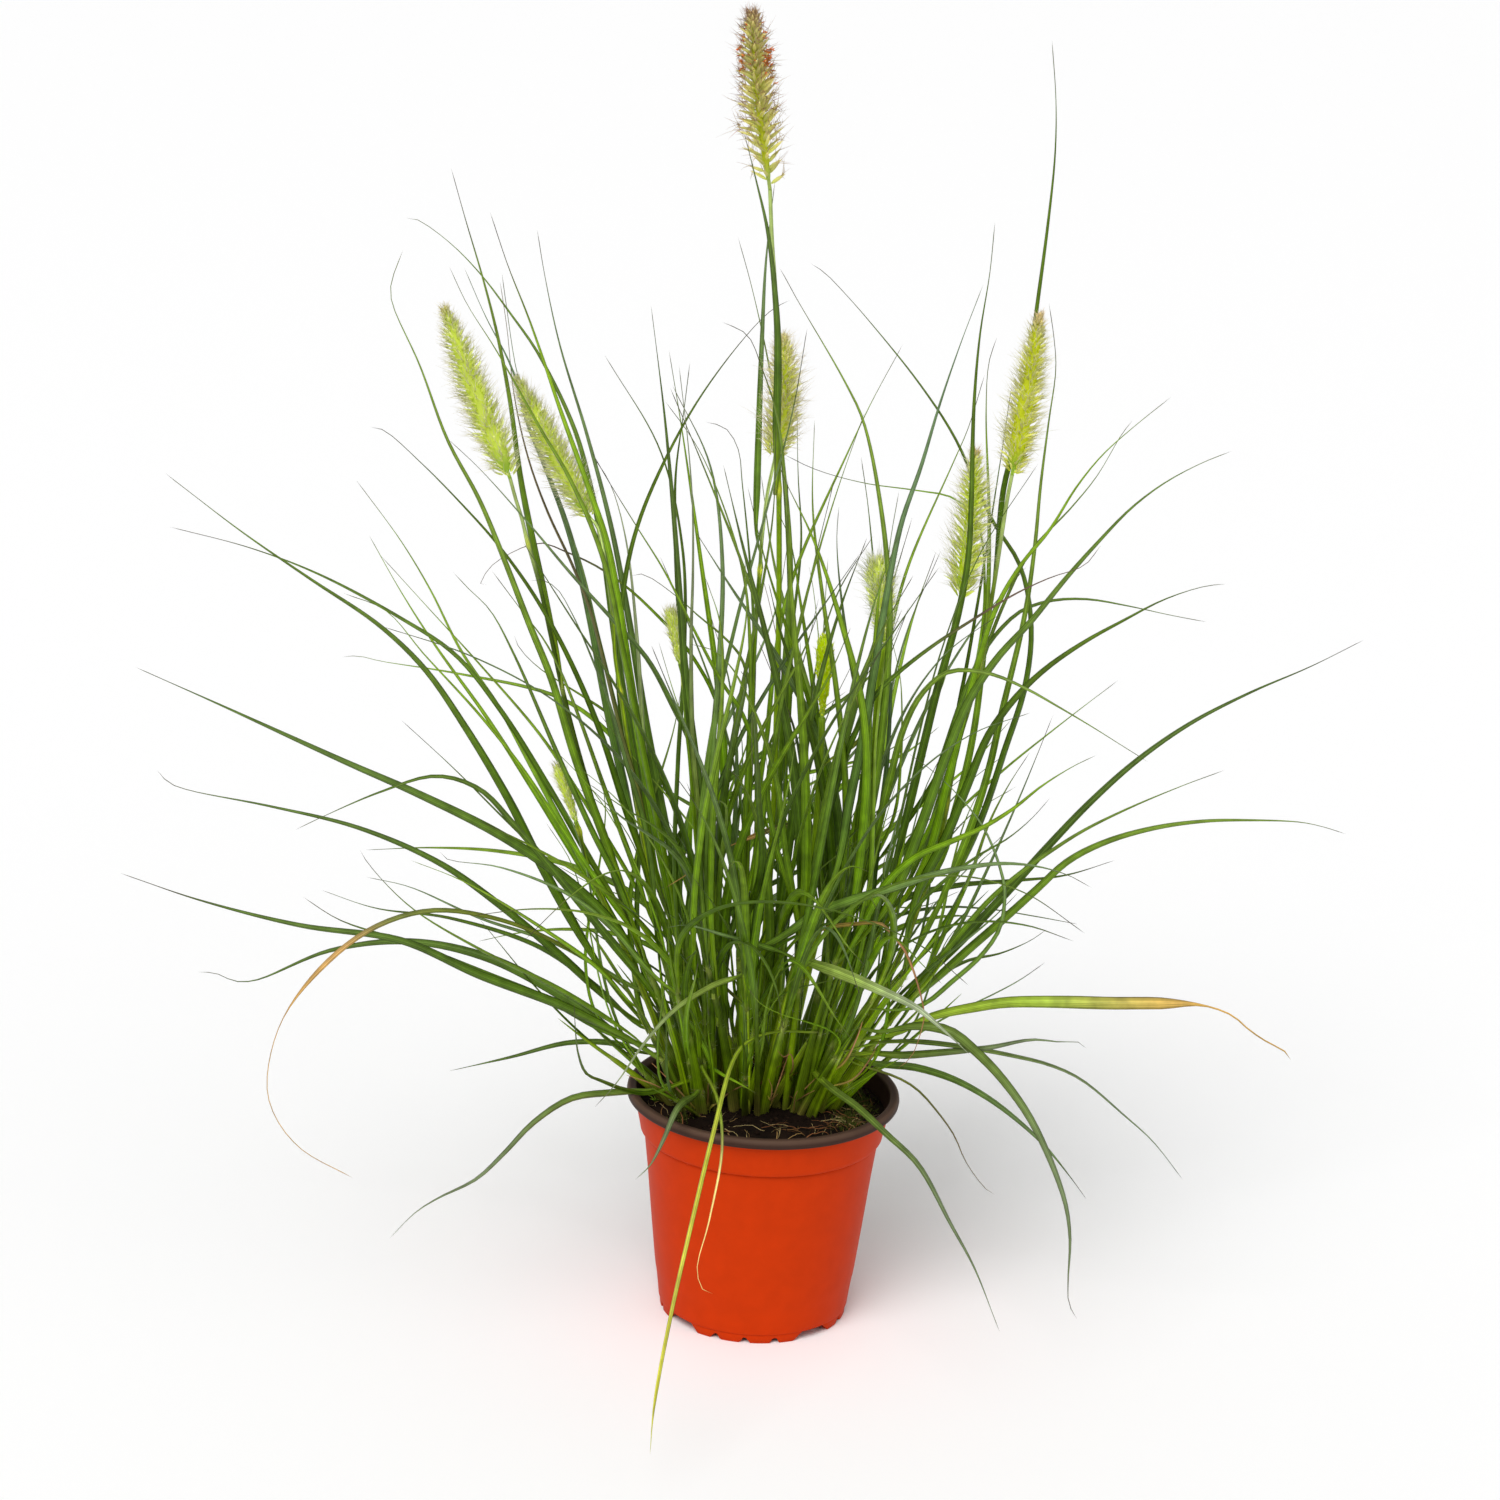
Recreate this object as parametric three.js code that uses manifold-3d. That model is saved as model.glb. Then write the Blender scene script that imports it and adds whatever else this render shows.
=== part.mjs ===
/*
 * A fountain grass in a plastic nursery pot: ten flowering culms with bottle-brush heads and thirty-six
 * leafy shoots, standing in five bunches in a pot of soil.
 *
 * Millimetres, +Z up. The origin is on the pot's axis, on the floor that it stands on, and -Y is the front.
 */
import * as THREE from 'three';
import Module from 'manifold-3d';
import { mergeVertices } from 'three/addons/utils/BufferGeometryUtils.js';

const wasm = await Module();
wasm.setup();

// Pot
const RIM_RADIUS = 85;
const RIM_TOP = 148;
const RIM_WIDTH = 7;
const COLLAR_TOP = 141;
const CREASE = 121;
const FOOT_RADIUS = 58.6;
const FOOT_WIDTH = 3.4;
const FOOT_HEIGHT = 6;
const WALL = 1.2;
const POT_SIDES = 32;
const FOOT_GAPS = 4;
const FOOT_GAP_WIDTH = 13;
const FOOT_GAP_HEIGHT = 5.2;
const NOTCHES_A_LOBE = 3;
const NOTCH_STEP = THREE.MathUtils.degToRad(18.5);
const NOTCH_WIDTH = 3.2;
const NOTCH_HEIGHT = 2;
const FOOT_TURN = THREE.MathUtils.degToRad(-3.5);

// Soil
const SOIL_CROWN = 139;
const SOIL_DROP = 5;
const SOIL_RADIUS = 76.6;
const SOIL_FLAT = 61;
const SEAT_GAP = 0.35;
const SLIVER = 0.05;

// Stems
const STEM_SIDES = 4;
const STEM_FOOT_RADIUS = 2.4;
const SHEATH_TOP_RADIUS = 1.5;
const CULM_TOP_RADIUS = 0.9;
const HEAD_GAP = 0.4;
const HOLE_DEPTH = 6;
const HOLE_GAP = 0.7;
const HOLE_SIDES = 4;
const STEM_SPACING = 4.1;
const CLUMP_MIDDLE = { x: -9, y: 8 };
const LEAN_PER_MM = 0.0092;
const BUNCH_LEAN_PER_MM = 0.012;
const SHEATH_STEPS = 3;
const SHEATH_TRIES = 60;
const STEM_CLEARANCE = 0.8;
const SHEATH_SHORTEST = 75;
const SHEATH_SPREAD = 85;
const BUNCHES = [
  { x: -42, y: -12, stems: 12 },
  { x: -6, y: -10, stems: 10 },
  { x: 28, y: -8, stems: 12 },
  { x: -26, y: 25, stems: 6 },
  { x: 14, y: 29, stems: 6 },
];

// Blades
const BLADE_KEEL = 0.75;
const BLADES_A_SHOOT = 5;
const MOST_BLADES = 6;
const CARRIERS = 3;
const LOWEST_ROOT = 0.2;
const HIGHEST_ROOT = 0.93;
const ROOT_PLACES = 32;
const LEAST_BEAD = 1;
const COURSE_STEPS = 48;
const FINEST_TOLERANCE = 2.5;
const BLADE_STEPS = 7;
const STEM_STEPS = 7;
const BLADE_CLEARANCE = 0.6;
const BLADE_DRAWS = 30;
const ROOT_LENGTH = 8;
const ROOT_SHIFTS = [0, 0.06, -0.06, 0.12, -0.12];
const DEPTH_SHIFT = 8;
const DEPTH_TRIES = 24;
const TURN_SHIFTS = [0, 0.07, -0.07, 0.14, -0.14];
const BEAD_STEP = 3;
const BLADE_REACH = 330;
const BLADE_RISE = 430;
const LOWEST_FRONT_TIP = 250;
const LOWEST_BACK_TIP = 150;

// Flower heads
const CORE_SIDES = 5;
const HEAD_STEPS = 4;
const CORE_SHARE = 0.34;
const THINNEST_CORE = 0.7;
const BRISTLE_RADIUS = 0.75;
const BRISTLE_RISE = 0.9;
const GOLDEN_ANGLE = Math.PI * (3 - Math.sqrt(5));

// Colours
const ORANGE = 0xc83712;
const PEAT = 0x1d150f;
const LEAF_GREEN = 0x4f7a2a;
const HEAD_GREEN = 0xb5c25a;

/*
 * The visible stems and blades are measured in a picture of the plant, in its pixels, tip first. Each route
 * is carried along the eye's lines of sight to its real depth, in mm behind the pot's axis (minus in front).
 */
const EYE_BACK = 2400;
const EYE_HEIGHT = 1150;
const EYE_FOCAL = 4160;
const PICTURE_MIDDLE = 750;
const EYE_PITCH = THREE.MathUtils.degToRad(18.05);
const EYE_ROLL = THREE.MathUtils.degToRad(2.85);
const EYE_YAW = THREE.MathUtils.degToRad(-0.45);

// Flowering culms: the head from its tip to its base, then the stem from under the head to the soil
const CULMS = [
  {
    bunch: 1, depth: 0, head: [[752, 12], [758, 100], [770, 190]], radius: 13.5, spikes: 28,
    stem: [[772, 240], [776, 300], [778, 400], [779, 500], [779, 600], [777, 700], [774, 800], [768, 900],
      [760, 1000]],
  },
  {
    bunch: 0, depth: -20, head: [[443, 305], [478, 400], [510, 478]], radius: 11.5, spikes: 36,
    stem: [[516, 500], [522, 519], [527, 540], [539, 583], [552, 642], [562, 688], [575, 740], [592, 800],
      [612, 870], [636, 940], [660, 1010]],
  },
  {
    bunch: 0, depth: 20, head: [[515, 375], [553, 450], [590, 518]], radius: 9.5, spikes: 34,
    stem: [[597, 526], [602, 545], [608, 580], [613, 617], [615, 655], [620, 689], [629, 752], [640, 820],
      [652, 890], [665, 960], [678, 1020]],
  },
  {
    bunch: 1, depth: 15, head: [[783, 335], [784, 395], [775, 458]], radius: 11.5, spikes: 34,
    stem: [[768, 490], [764, 520], [761, 550], [760, 570], [757, 605], [753, 676], [751, 752], [748, 830],
      [746, 900], [744, 980]],
  },
  {
    bunch: 2, depth: 0, head: [[1040, 312], [1028, 390], [1012, 475]], radius: 11.5, spikes: 36,
    stem: [[1008, 495], [1002, 533], [997, 566], [990, 610], [983, 655], [971, 700], [958, 744], [950, 784],
      [938, 850], [920, 902], [900, 955], [872, 1010]],
  },
  {
    bunch: 2, depth: -10, head: [[975, 450], [970, 525], [960, 600]], radius: 12.5, spikes: 36,
    stem: [[956, 612], [952, 634], [944, 676], [935, 701], [923, 743], [912, 790], [905, 830], [895, 880],
      [880, 930], [860, 985]],
  },
  {
    bunch: 2, depth: -25, head: [[876, 553], [881, 595], [885, 645]], radius: 10.5, spikes: 28,
    stem: [[883, 655], [881, 667], [878, 693], [876, 718], [874, 752], [868, 800], [862, 850], [852, 910],
      [840, 965]],
  },
  {
    bunch: 1, depth: -35, head: [[825, 632], [824, 675], [822, 718]], radius: 4.5, spikes: 14,
    stem: [[821, 750], [818, 800], [813, 860], [806, 920], [798, 980]],
  },
  {
    bunch: 0, depth: -30, head: [[669, 600], [674, 632], [680, 664]], radius: 5.5, spikes: 14,
    stem: [[683, 676], [685, 700], [687, 730], [690, 757], [694, 810], [699, 870], [704, 930], [709, 990]],
  },
  {
    bunch: 0, depth: -55, head: [[553, 755], [564, 785], [576, 822]], radius: 5, spikes: 14,
    stem: [[579, 831], [587, 864], [602, 898], [616, 930], [634, 970], [655, 1022]],
  },
];

/*
 * Blades that show in the picture. depth is the tip's, and a point's own third number overrides it there.
 * width is the widest place. culm is the number of the culm that carries the blade; the others grow from
 * the leafy shoot whose sheath passes nearest to their root, which is the last point.
 */
const DRAWN_BLADES = [
  // On the culms
  { culm: 1, depth: -30, width: 6, route: [[451, 168], [466, 222], [482, 277], [496, 332], [509, 400],
    [521, 486], [527, 540]] },
  { culm: 0, depth: -45, width: 6.5, route: [[744, 132], [756, 180], [768, 233], [777, 320], [778, 374],
    [777, 422], [779, 500]] },
  { culm: 3, depth: 60, width: 4, route: [[775, 180], [766, 260], [762, 337], [759, 422], [757, 519],
    [760, 570]] },
  { culm: 4, depth: 45, width: 5.5, route: [[1052, 40], [1056, 102], [1055, 155], [1048, 223], [1038, 298],
    [1028, 370], [1015, 440], [1003, 490], [996, 560], [983, 655]] },
  { culm: 6, depth: -55, width: 5, route: [[886, 560], [881, 580], [877, 617], [874, 660], [868, 710],
    [864, 790]] },

  // Straight to the front and to the back
  { depth: -335, width: 5, route: [[752, 770], [752, 722], [753, 712], [755, 735], [758, 800], [760, 870],
    [760, 930]] },
  { depth: 335, width: 5, route: [[800, 640], [803, 690], [806, 760], [806, 830], [803, 900]] },

  // High on the left
  { depth: 150, width: 5.5, route: [[406, 218], [416, 219], [448, 241], [480, 273], [512, 315], [539, 354],
    [575, 429], [591, 486], [603, 545], [613, 617], [625, 700], [643, 790], [660, 880], [676, 960]] },
  { depth: -60, width: 5.5, route: [[490, 212], [508, 266], [530, 322], [562, 415], [590, 492], [606, 540],
    [618, 600], [630, 680], [645, 770], [662, 860], [680, 950]] },
  { depth: 110, width: 5, route: [[537, 229], [544, 272], [559, 343], [587, 436], [611, 528], [632, 640],
    [645, 720], [660, 800], [675, 880], [690, 960]] },
  { depth: -120, width: 5, route: [[403, 250], [391, 285], [392, 302], [420, 365], [448, 440], [480, 500],
    [507, 565], [529, 622], [552, 679], [574, 752], [602, 830], [632, 905], [660, 970]] },
  { depth: -90, width: 5, route: [[449, 266], [467, 304], [496, 350], [544, 435], [564, 468], [589, 521],
    [606, 570], [620, 640], [636, 720], [652, 800], [668, 880], [682, 950]] },
  { depth: 60, width: 6, route: [[464, 267], [485, 315], [512, 368], [528, 424], [546, 468], [566, 521],
    [579, 566], [594, 634], [605, 692], [622, 770], [643, 850], [662, 920]] },
  { depth: 130, width: 3, route: [[500, 281], [507, 329], [514, 395], [528, 458], [547, 511], [572, 565],
    [589, 608], [603, 660], [620, 730], [642, 810], [664, 890]] },
  { depth: 20, width: 2.5, route: [[502, 273], [506, 302], [517, 372], [534, 430], [556, 495], [580, 560],
    [600, 640], [620, 720], [645, 810], [668, 890]] },

  // Middle of the left side
  { depth: -30, width: 4, route: [[370, 427], [383, 430], [420, 462], [465, 508], [497, 544], [529, 588],
    [554, 630], [579, 681], [601, 735], [622, 800], [645, 870], [668, 935]] },
  { depth: -60, width: 4.5, route: [[447, 438], [480, 469], [527, 521], [571, 573], [611, 617], [648, 659],
    [675, 709], [690, 740], [703, 790], [716, 850], [727, 910]] },
  { depth: -30, width: 6, route: [[165, 473], [240, 530], [310, 578], [380, 625], [425, 668], [465, 725],
    [510, 800], [545, 870], [585, 940], [622, 995], [652, 1035]] },
  { depth: 120, width: 4, route: [[356, 480], [400, 540], [430, 590], [460, 650], [500, 710], [530, 765],
    [565, 830], [600, 895], [635, 955], [660, 1000]] },
  { depth: 40, width: 4, route: [[170, 527], [250, 548], [320, 575], [400, 618], [455, 655], [500, 710],
    [550, 790], [590, 860], [625, 920], [655, 975]] },
  { depth: -150, width: 3, route: [[343, 593], [385, 610], [425, 655], [480, 715], [520, 765], [560, 825],
    [600, 885], [640, 945], [665, 985]] },
  { depth: 170, width: 3.5, route: [[369, 535], [400, 590], [435, 645], [485, 715], [530, 785], [570, 850],
    [610, 915], [645, 970]] },
  { depth: 60, width: 3, route: [[380, 555], [430, 610], [480, 665], [540, 735], [580, 795], [620, 860],
    [655, 920], [680, 965]] },
  { depth: 100, width: 4, route: [[342, 657], [358, 656], [380, 661], [460, 674], [555, 696], [600, 725],
    [640, 775], [672, 840], [695, 905], [712, 960]] },
  { depth: -100, width: 6, route: [[135, 667], [220, 705], [345, 762], [420, 795], [500, 835], [560, 875],
    [610, 920], [645, 965], [668, 1005]] },
  { depth: -20, width: 4.5, route: [[157, 770], [168, 782], [185, 789], [270, 806], [360, 828], [440, 863],
    [500, 905], [560, 955], [610, 1000], [650, 1045]] },
  { depth: -160, width: 5, route: [[295, 830], [322, 817], [380, 792], [435, 776], [478, 788], [515, 825],
    [570, 890], [615, 945], [650, 990], [672, 1022]] },
  { depth: 150, width: 2.5, route: [[401, 720], [450, 765], [500, 815], [550, 865], [600, 925], [640, 975],
    [662, 1010]] },
  { depth: -80, width: 4, route: [[453, 572], [468, 588], [490, 610], [514, 654], [557, 752], [590, 825],
    [622, 890], [650, 950]] },
  { depth: 60, width: 3, route: [[487, 585], [480, 587], [487, 571], [502, 558], [540, 543], [564, 551],
    [598, 567], [628, 588], [655, 613], [682, 642], [700, 668], [714, 695], [726, 740], [741, 870]] },
  { depth: 100, width: 4, route: [[514, 635], [519, 647], [537, 666], [564, 684], [588, 699], [615, 718],
    [642, 747], [668, 790], [690, 850], [706, 910]] },
  { depth: -110, width: 3.5, route: [[530, 581], [539, 579], [556, 588], [571, 612], [591, 657], [608, 701],
    [625, 760], [645, 830], [665, 900]] },
  { depth: -20, width: 3, route: [[492, 571], [525, 615], [544, 640], [560, 670], [580, 720], [605, 790],
    [635, 870], [660, 940]] },
  { depth: -140, width: 3.5, route: [[440, 852], [447, 859], [500, 867], [565, 892], [610, 925], [645, 965],
    [670, 1000]] },

  // Low on the left
  { depth: -150, width: 5.5, route: [[120, 873], [200, 900], [300, 925], [400, 940], [480, 975],
    [560, 1005], [620, 1035], [655, 1062]] },
  { depth: 90, width: 6, route: [[198, 972], [215, 973], [235, 981], [255, 980], [330, 950], [410, 941],
    [490, 958], [570, 1000], [630, 1040], [662, 1070]] },
  { depth: -90, width: 4, route: [[303, 897], [340, 920], [410, 943], [490, 975], [550, 1000], [605, 1030],
    [645, 1058]] },
  { depth: 160, width: 4, route: [[321, 890], [375, 908], [450, 918], [540, 947], [595, 985], [640, 1025],
    [668, 1050]] },
  { depth: -190, width: 5, route: [[353, 1178], [300, 1148], [275, 1116], [267, 1085], [280, 1025],
    [315, 975], [370, 930], [430, 911], [500, 920], [570, 950], [625, 990], [660, 1030]] },
  { depth: 90, width: 3, route: [[366, 877], [410, 887], [480, 918], [560, 945], [630, 985], [665, 1015]] },
  { depth: -30, width: 3.5, route: [[360, 850], [367, 862], [410, 907], [480, 950], [560, 990], [620, 1028],
    [655, 1060]] },
  { depth: -120, width: 3, route: [[410, 860], [465, 882], [545, 930], [600, 970], [645, 1015]] },
  { depth: 30, width: 4, route: [[449, 1071], [510, 1057], [570, 1042], [617, 1043], [645, 1052],
    [668, 1066]] },
  { depth: -60, width: 3.5, route: [[574, 1003], [576, 1033], [579, 1054], [587, 1073], [602, 1080],
    [623, 1088], [650, 1092], [674, 1090]] },
  { depth: -110, width: 5, route: [[389, 1239], [415, 1213], [437, 1199], [477, 1179], [505, 1153],
    [534, 1123], [572, 1099], [617, 1093], [659, 1088], [678, 1082]] },

  // Hanging in front of the pot
  { depth: -120, width: 3.5, route: [[635, 1180], [650, 1165], [663, 1140], [676, 1110, -80],
    [692, 1095]] },
  { depth: -150, width: 4, route: [[594, 1108], [617, 1083], [644, 1045], [676, 1010], [712, 987],
    [745, 972], [760, 968]] },
  { depth: -235, width: 4, route: [[650, 1455], [654, 1399, -212], [670, 1314, -180], [695, 1205, -145],
    [714, 1127, -112], [730, 1067, -84], [742, 1046, -68], [766, 1034, -50], [808, 1040]] },
  { depth: -124, width: 2.5, route: [[713, 1294], [704, 1291, -123], [697, 1271, -121], [709, 1221, -116],
    [722, 1148, -100], [717, 1099, -78], [703, 1070, -52], [690, 1062]] },
  { depth: -100, width: 3.5, route: [[665, 928], [686, 925], [728, 936], [770, 948], [788, 955]] },
  { depth: -60, width: 3, route: [[665, 888], [686, 875], [716, 853], [749, 838], [787, 825], [808, 826],
    [818, 850], [822, 890]] },
  { depth: -60, width: 3, route: [[757, 1094], [739, 1083], [724, 1075], [707, 1065], [690, 1062]] },

  // In the middle
  { depth: -40, width: 6, route: [[651, 305], [664, 410], [670, 471], [675, 531], [680, 600], [686, 684],
    [694, 751], [703, 830], [712, 900], [720, 960]] },
  { depth: 70, width: 5, route: [[669, 350], [684, 441], [702, 566], [719, 693], [728, 830], [735, 960]] },
  { depth: -90, width: 5, route: [[679, 366], [688, 446], [692, 507], [692, 575], [690, 640], [692, 752],
    [700, 830], [708, 910], [715, 970]] },
  { depth: 30, width: 4, route: [[690, 362], [684, 410], [676, 471], [675, 519], [677, 580], [683, 660],
    [690, 740], [700, 820], [711, 900]] },
  { depth: 60, width: 4.5, route: [[790, 300], [772, 310], [747, 335], [700, 398], [664, 463], [638, 526],
    [625, 583], [619, 659], [622, 710], [632, 770], [648, 850], [668, 930]] },
  { depth: -70, width: 5, route: [[722, 322], [747, 335], [762, 369], [777, 417], [785, 483], [790, 560],
    [788, 616], [784, 680], [780, 750], [776, 830], [772, 900]] },
  { depth: 50, width: 3, route: [[705, 422], [725, 428], [738, 449], [742, 483], [750, 567], [754, 650],
    [752, 720], [749, 800], [747, 870]] },
  { depth: -70, width: 3.5, route: [[665, 401], [688, 432], [705, 461], [730, 524], [746, 587], [751, 680],
    [749, 750], [747, 820]] },
  { depth: 80, width: 3.5, route: [[738, 237], [751, 284], [766, 350], [778, 420], [788, 540], [790, 680],
    [786, 760], [780, 850]] },
  { depth: -60, width: 5, route: [[779, 267], [785, 277], [797, 299], [846, 383], [864, 422], [882, 512],
    [890, 600], [888, 670], [880, 750], [868, 830], [855, 900], [842, 960]] },
  { depth: 90, width: 4.5, route: [[810, 263], [824, 272], [841, 289], [872, 324], [921, 385], [955, 437],
    [993, 520], [1021, 566], [1032, 625], [1026, 686], [1005, 752], [985, 812], [960, 870], [925, 930],
    [890, 980]] },
  { depth: 110, width: 3.5, route: [[903, 344], [870, 405], [846, 456], [802, 553], [785, 604], [775, 660],
    [768, 730], [762, 800], [757, 870]] },
  { depth: -80, width: 5.5, route: [[983, 285], [960, 345], [940, 403], [921, 466], [901, 524], [887, 592],
    [876, 660], [864, 730], [850, 800], [835, 870], [820, 940]] },
  { depth: -60, width: 5, route: [[995, 222], [990, 272], [980, 335], [974, 405], [971, 507], [968, 558],
    [958, 614], [937, 689], [922, 750], [905, 820], [885, 890], [862, 950]] },
  { depth: 80, width: 4.5, route: [[997, 337], [989, 362], [986, 410], [989, 519], [987, 608], [979, 693],
    [970, 750], [955, 810], [935, 870], [908, 930]] },
  { depth: 130, width: 3.5, route: [[985, 374], [968, 429], [952, 466], [909, 565], [892, 628], [880, 700],
    [868, 770], [852, 840], [838, 905]] },
  { depth: 60, width: 3, route: [[1012, 385], [1001, 458], [985, 560], [975, 620], [962, 690], [945, 760],
    [925, 830]] },
  { depth: 50, width: 3.5, route: [[783, 454], [814, 469], [863, 483], [918, 491], [952, 498], [976, 520],
    [984, 590], [978, 650], [965, 710], [948, 780], [925, 850]] },
  { depth: 20, width: 3, route: [[861, 456], [869, 514], [876, 610], [874, 680], [866, 750], [855, 820]] },
  { depth: 60, width: 2.5, route: [[899, 491], [890, 545], [886, 600], [880, 670], [870, 740]] },
  { depth: -50, width: 4.5, route: [[839, 506], [837, 541], [843, 608], [854, 676], [863, 709], [868, 760],
    [866, 820], [858, 880]] },
  { depth: 90, width: 2.5, route: [[828, 558], [824, 625], [822, 680], [820, 750], [815, 830]] },
  { depth: 110, width: 2.5, route: [[809, 566], [814, 595], [822, 690], [822, 760], [818, 840]] },
  { depth: -110, width: 6, route: [[778, 462], [785, 480], [814, 541], [841, 622], [861, 701], [866, 760],
    [862, 830], [852, 900], [840, 960]] },
  { depth: -30, width: 4.5, route: [[776, 508], [790, 540], [800, 600], [809, 659], [819, 735], [822, 790],
    [820, 860], [815, 930]] },
  { depth: 140, width: 3.5, route: [[797, 403], [798, 474], [801, 541], [793, 620], [786, 680], [780, 750],
    [775, 830]] },
  { depth: -130, width: 3.5, route: [[835, 477], [817, 551], [802, 617], [785, 684], [775, 740], [768, 800],
    [762, 860]] },
  { depth: 90, width: 4.5, route: [[592, 455], [610, 483], [626, 538], [638, 642], [645, 750], [655, 820],
    [668, 890]] },
  { depth: -100, width: 4, route: [[592, 452], [608, 480], [638, 528], [665, 571], [695, 630], [721, 679],
    [743, 713], [755, 750], [762, 810], [764, 880]] },
  { depth: 30, width: 3.5, route: [[630, 576], [642, 574], [675, 595], [700, 617], [722, 635], [741, 657],
    [754, 710], [757, 770], [757, 840], [755, 910]] },
  { depth: -120, width: 4, route: [[689, 644], [712, 650], [731, 667], [752, 707], [766, 743], [778, 790],
    [785, 850], [787, 910]] },
  { depth: 80, width: 2.5, route: [[762, 575], [771, 610], [782, 670], [785, 720], [784, 790]] },
  { depth: -70, width: 3, route: [[758, 640], [775, 681], [793, 726], [803, 780], [806, 850]] },
  { depth: 40, width: 2.5, route: [[890, 633], [900, 676], [902, 710], [901, 760], [893, 820],
    [880, 880]] },
  { depth: -40, width: 4.5, route: [[893, 580], [890, 642], [891, 700], [888, 760], [880, 830],
    [868, 900]] },

  // High on the right
  { depth: -60, width: 5, route: [[1171, 397], [1137, 424], [1102, 455], [1076, 487], [1049, 530],
    [1021, 564], [996, 607], [978, 660], [962, 720], [945, 790], [925, 860], [900, 925]] },
  { depth: 120, width: 3.5, route: [[1133, 420], [1122, 434], [1097, 476], [1071, 508], [1031, 551],
    [1006, 599], [986, 650], [965, 720], [942, 790], [918, 860], [890, 930]] },
  { depth: -90, width: 6, route: [[1232, 451], [1200, 464], [1165, 483], [1132, 508], [1097, 544],
    [1066, 579], [1031, 622], [998, 658], [970, 700], [945, 760], [920, 830], [890, 900], [860, 960]] },
  { depth: -20, width: 4.5, route: [[1049, 303], [1054, 337], [1056, 369], [1049, 422], [1041, 485],
    [1035, 548], [1025, 616], [1002, 713], [989, 770], [970, 830], [945, 890], [915, 950]] },
  { depth: -130, width: 4.5, route: [[1101, 545], [1085, 565], [1050, 578], [1016, 594], [970, 622],
    [935, 645], [900, 672], [878, 693], [855, 735], [839, 780], [825, 840], [812, 900]] },
  { depth: 60, width: 4, route: [[1207, 622], [1170, 615], [1129, 606], [1086, 599], [1049, 601],
    [1021, 611], [998, 632], [980, 658], [962, 700], [942, 760], [918, 830], [890, 895]] },
  { depth: -50, width: 5.5, route: [[1226, 584], [1206, 586], [1165, 599], [1122, 621], [1084, 642],
    [1045, 669], [1016, 697], [989, 734], [968, 784], [945, 840], [918, 895], [888, 950]] },

  // Middle of the right side
  { depth: 215, width: 5.5, route: [[1364, 640], [1310, 667], [1250, 693], [1190, 724], [1137, 761],
    [1090, 803], [1047, 848], [1013, 886], [968, 934], [926, 978], [890, 1015], [860, 1040]] },
  { depth: -150, width: 5, route: [[1148, 762], [1124, 747], [1092, 727], [1058, 707], [1026, 689],
    [989, 674], [950, 672], [924, 692], [905, 726], [890, 780], [872, 850], [852, 920]] },
  { depth: 205, width: 5, route: [[1346, 834], [1324, 827], [1300, 822], [1252, 820], [1203, 821],
    [1153, 828], [1105, 842], [1068, 861], [1037, 889], [1005, 918], [966, 952], [926, 989], [890, 1020],
    [858, 1048]] },
  { depth: -60, width: 3.5, route: [[1225, 770], [1184, 785], [1131, 807], [1084, 830], [1052, 850],
    [1021, 872], [989, 900], [950, 945], [915, 985], [880, 1020]] },
  { depth: -110, width: 4.5, route: [[1097, 755], [1074, 766], [1042, 786], [1013, 809], [982, 828],
    [950, 842], [916, 857], [885, 885], [860, 930], [842, 975]] },
  { depth: -150, width: 3, route: [[1050, 798], [1031, 819], [1008, 838], [979, 855], [945, 880],
    [912, 915], [880, 960]] },
  { depth: 140, width: 3, route: [[1030, 752], [1008, 786], [989, 823], [971, 873], [945, 930],
    [912, 985]] },
  { depth: 80, width: 3, route: [[1053, 715], [1039, 750], [1016, 805], [989, 865], [958, 928], [925, 980],
    [890, 1020]] },

  // Low on the right
  { depth: -190, width: 5, route: [[1092, 888], [1068, 875], [1037, 866], [1003, 863], [966, 867],
    [929, 875], [900, 885], [844, 902], [812, 915], [791, 930], [763, 968]] },
  { depth: 120, width: 3.5, route: [[1047, 929], [1031, 940], [1000, 953], [968, 960], [937, 976],
    [905, 1000], [875, 1030]] },
  { depth: -40, width: 6.5, route: [[1291, 1060], [1285, 1051], [1268, 1042], [1250, 1030], [1232, 1015],
    [1203, 1005], [1163, 1002], [1110, 1002], [1058, 1001], [1005, 1002], [974, 1007], [929, 1017],
    [895, 1032], [866, 1048]] },
  { depth: -60, width: 3, route: [[908, 753], [934, 772], [960, 797], [984, 828], [1001, 870], [1005, 894],
    [1000, 928], [982, 955], [953, 981], [921, 1005], [890, 1028]] },
  { depth: -100, width: 5, route: [[1087, 1049], [1081, 1043], [1058, 1042], [1032, 1040], [988, 1048],
    [935, 1053], [901, 1055], [877, 1054], [852, 1054]] },
  { depth: -60, width: 4.5, route: [[1183, 1180], [1153, 1142], [1124, 1116], [1080, 1080], [1049, 1066],
    [1012, 1057], [974, 1050], [928, 1044], [891, 1043], [865, 1050]] },
  { depth: -110, width: 5.5, route: [[1077, 1319], [1069, 1304], [1068, 1283], [1070, 1237], [1064, 1198],
    [1034, 1125], [1005, 1082], [978, 1053], [950, 1031], [916, 1025], [877, 1031], [852, 1038]] },
  { depth: 40, width: 5, route: [[1087, 1200], [1068, 1174], [1044, 1145], [1017, 1120], [986, 1097],
    [952, 1079], [916, 1068], [877, 1063], [850, 1072]] },
  { depth: -110, width: 5.5, route: [[1000, 1333], [974, 1268], [950, 1224], [918, 1166], [886, 1135, -72],
    [857, 1108, -60], [831, 1089, -46], [812, 1084]] },
  { depth: -50, width: 2.5, route: [[995, 1195], [986, 1189], [966, 1162], [954, 1135], [937, 1111],
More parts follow.
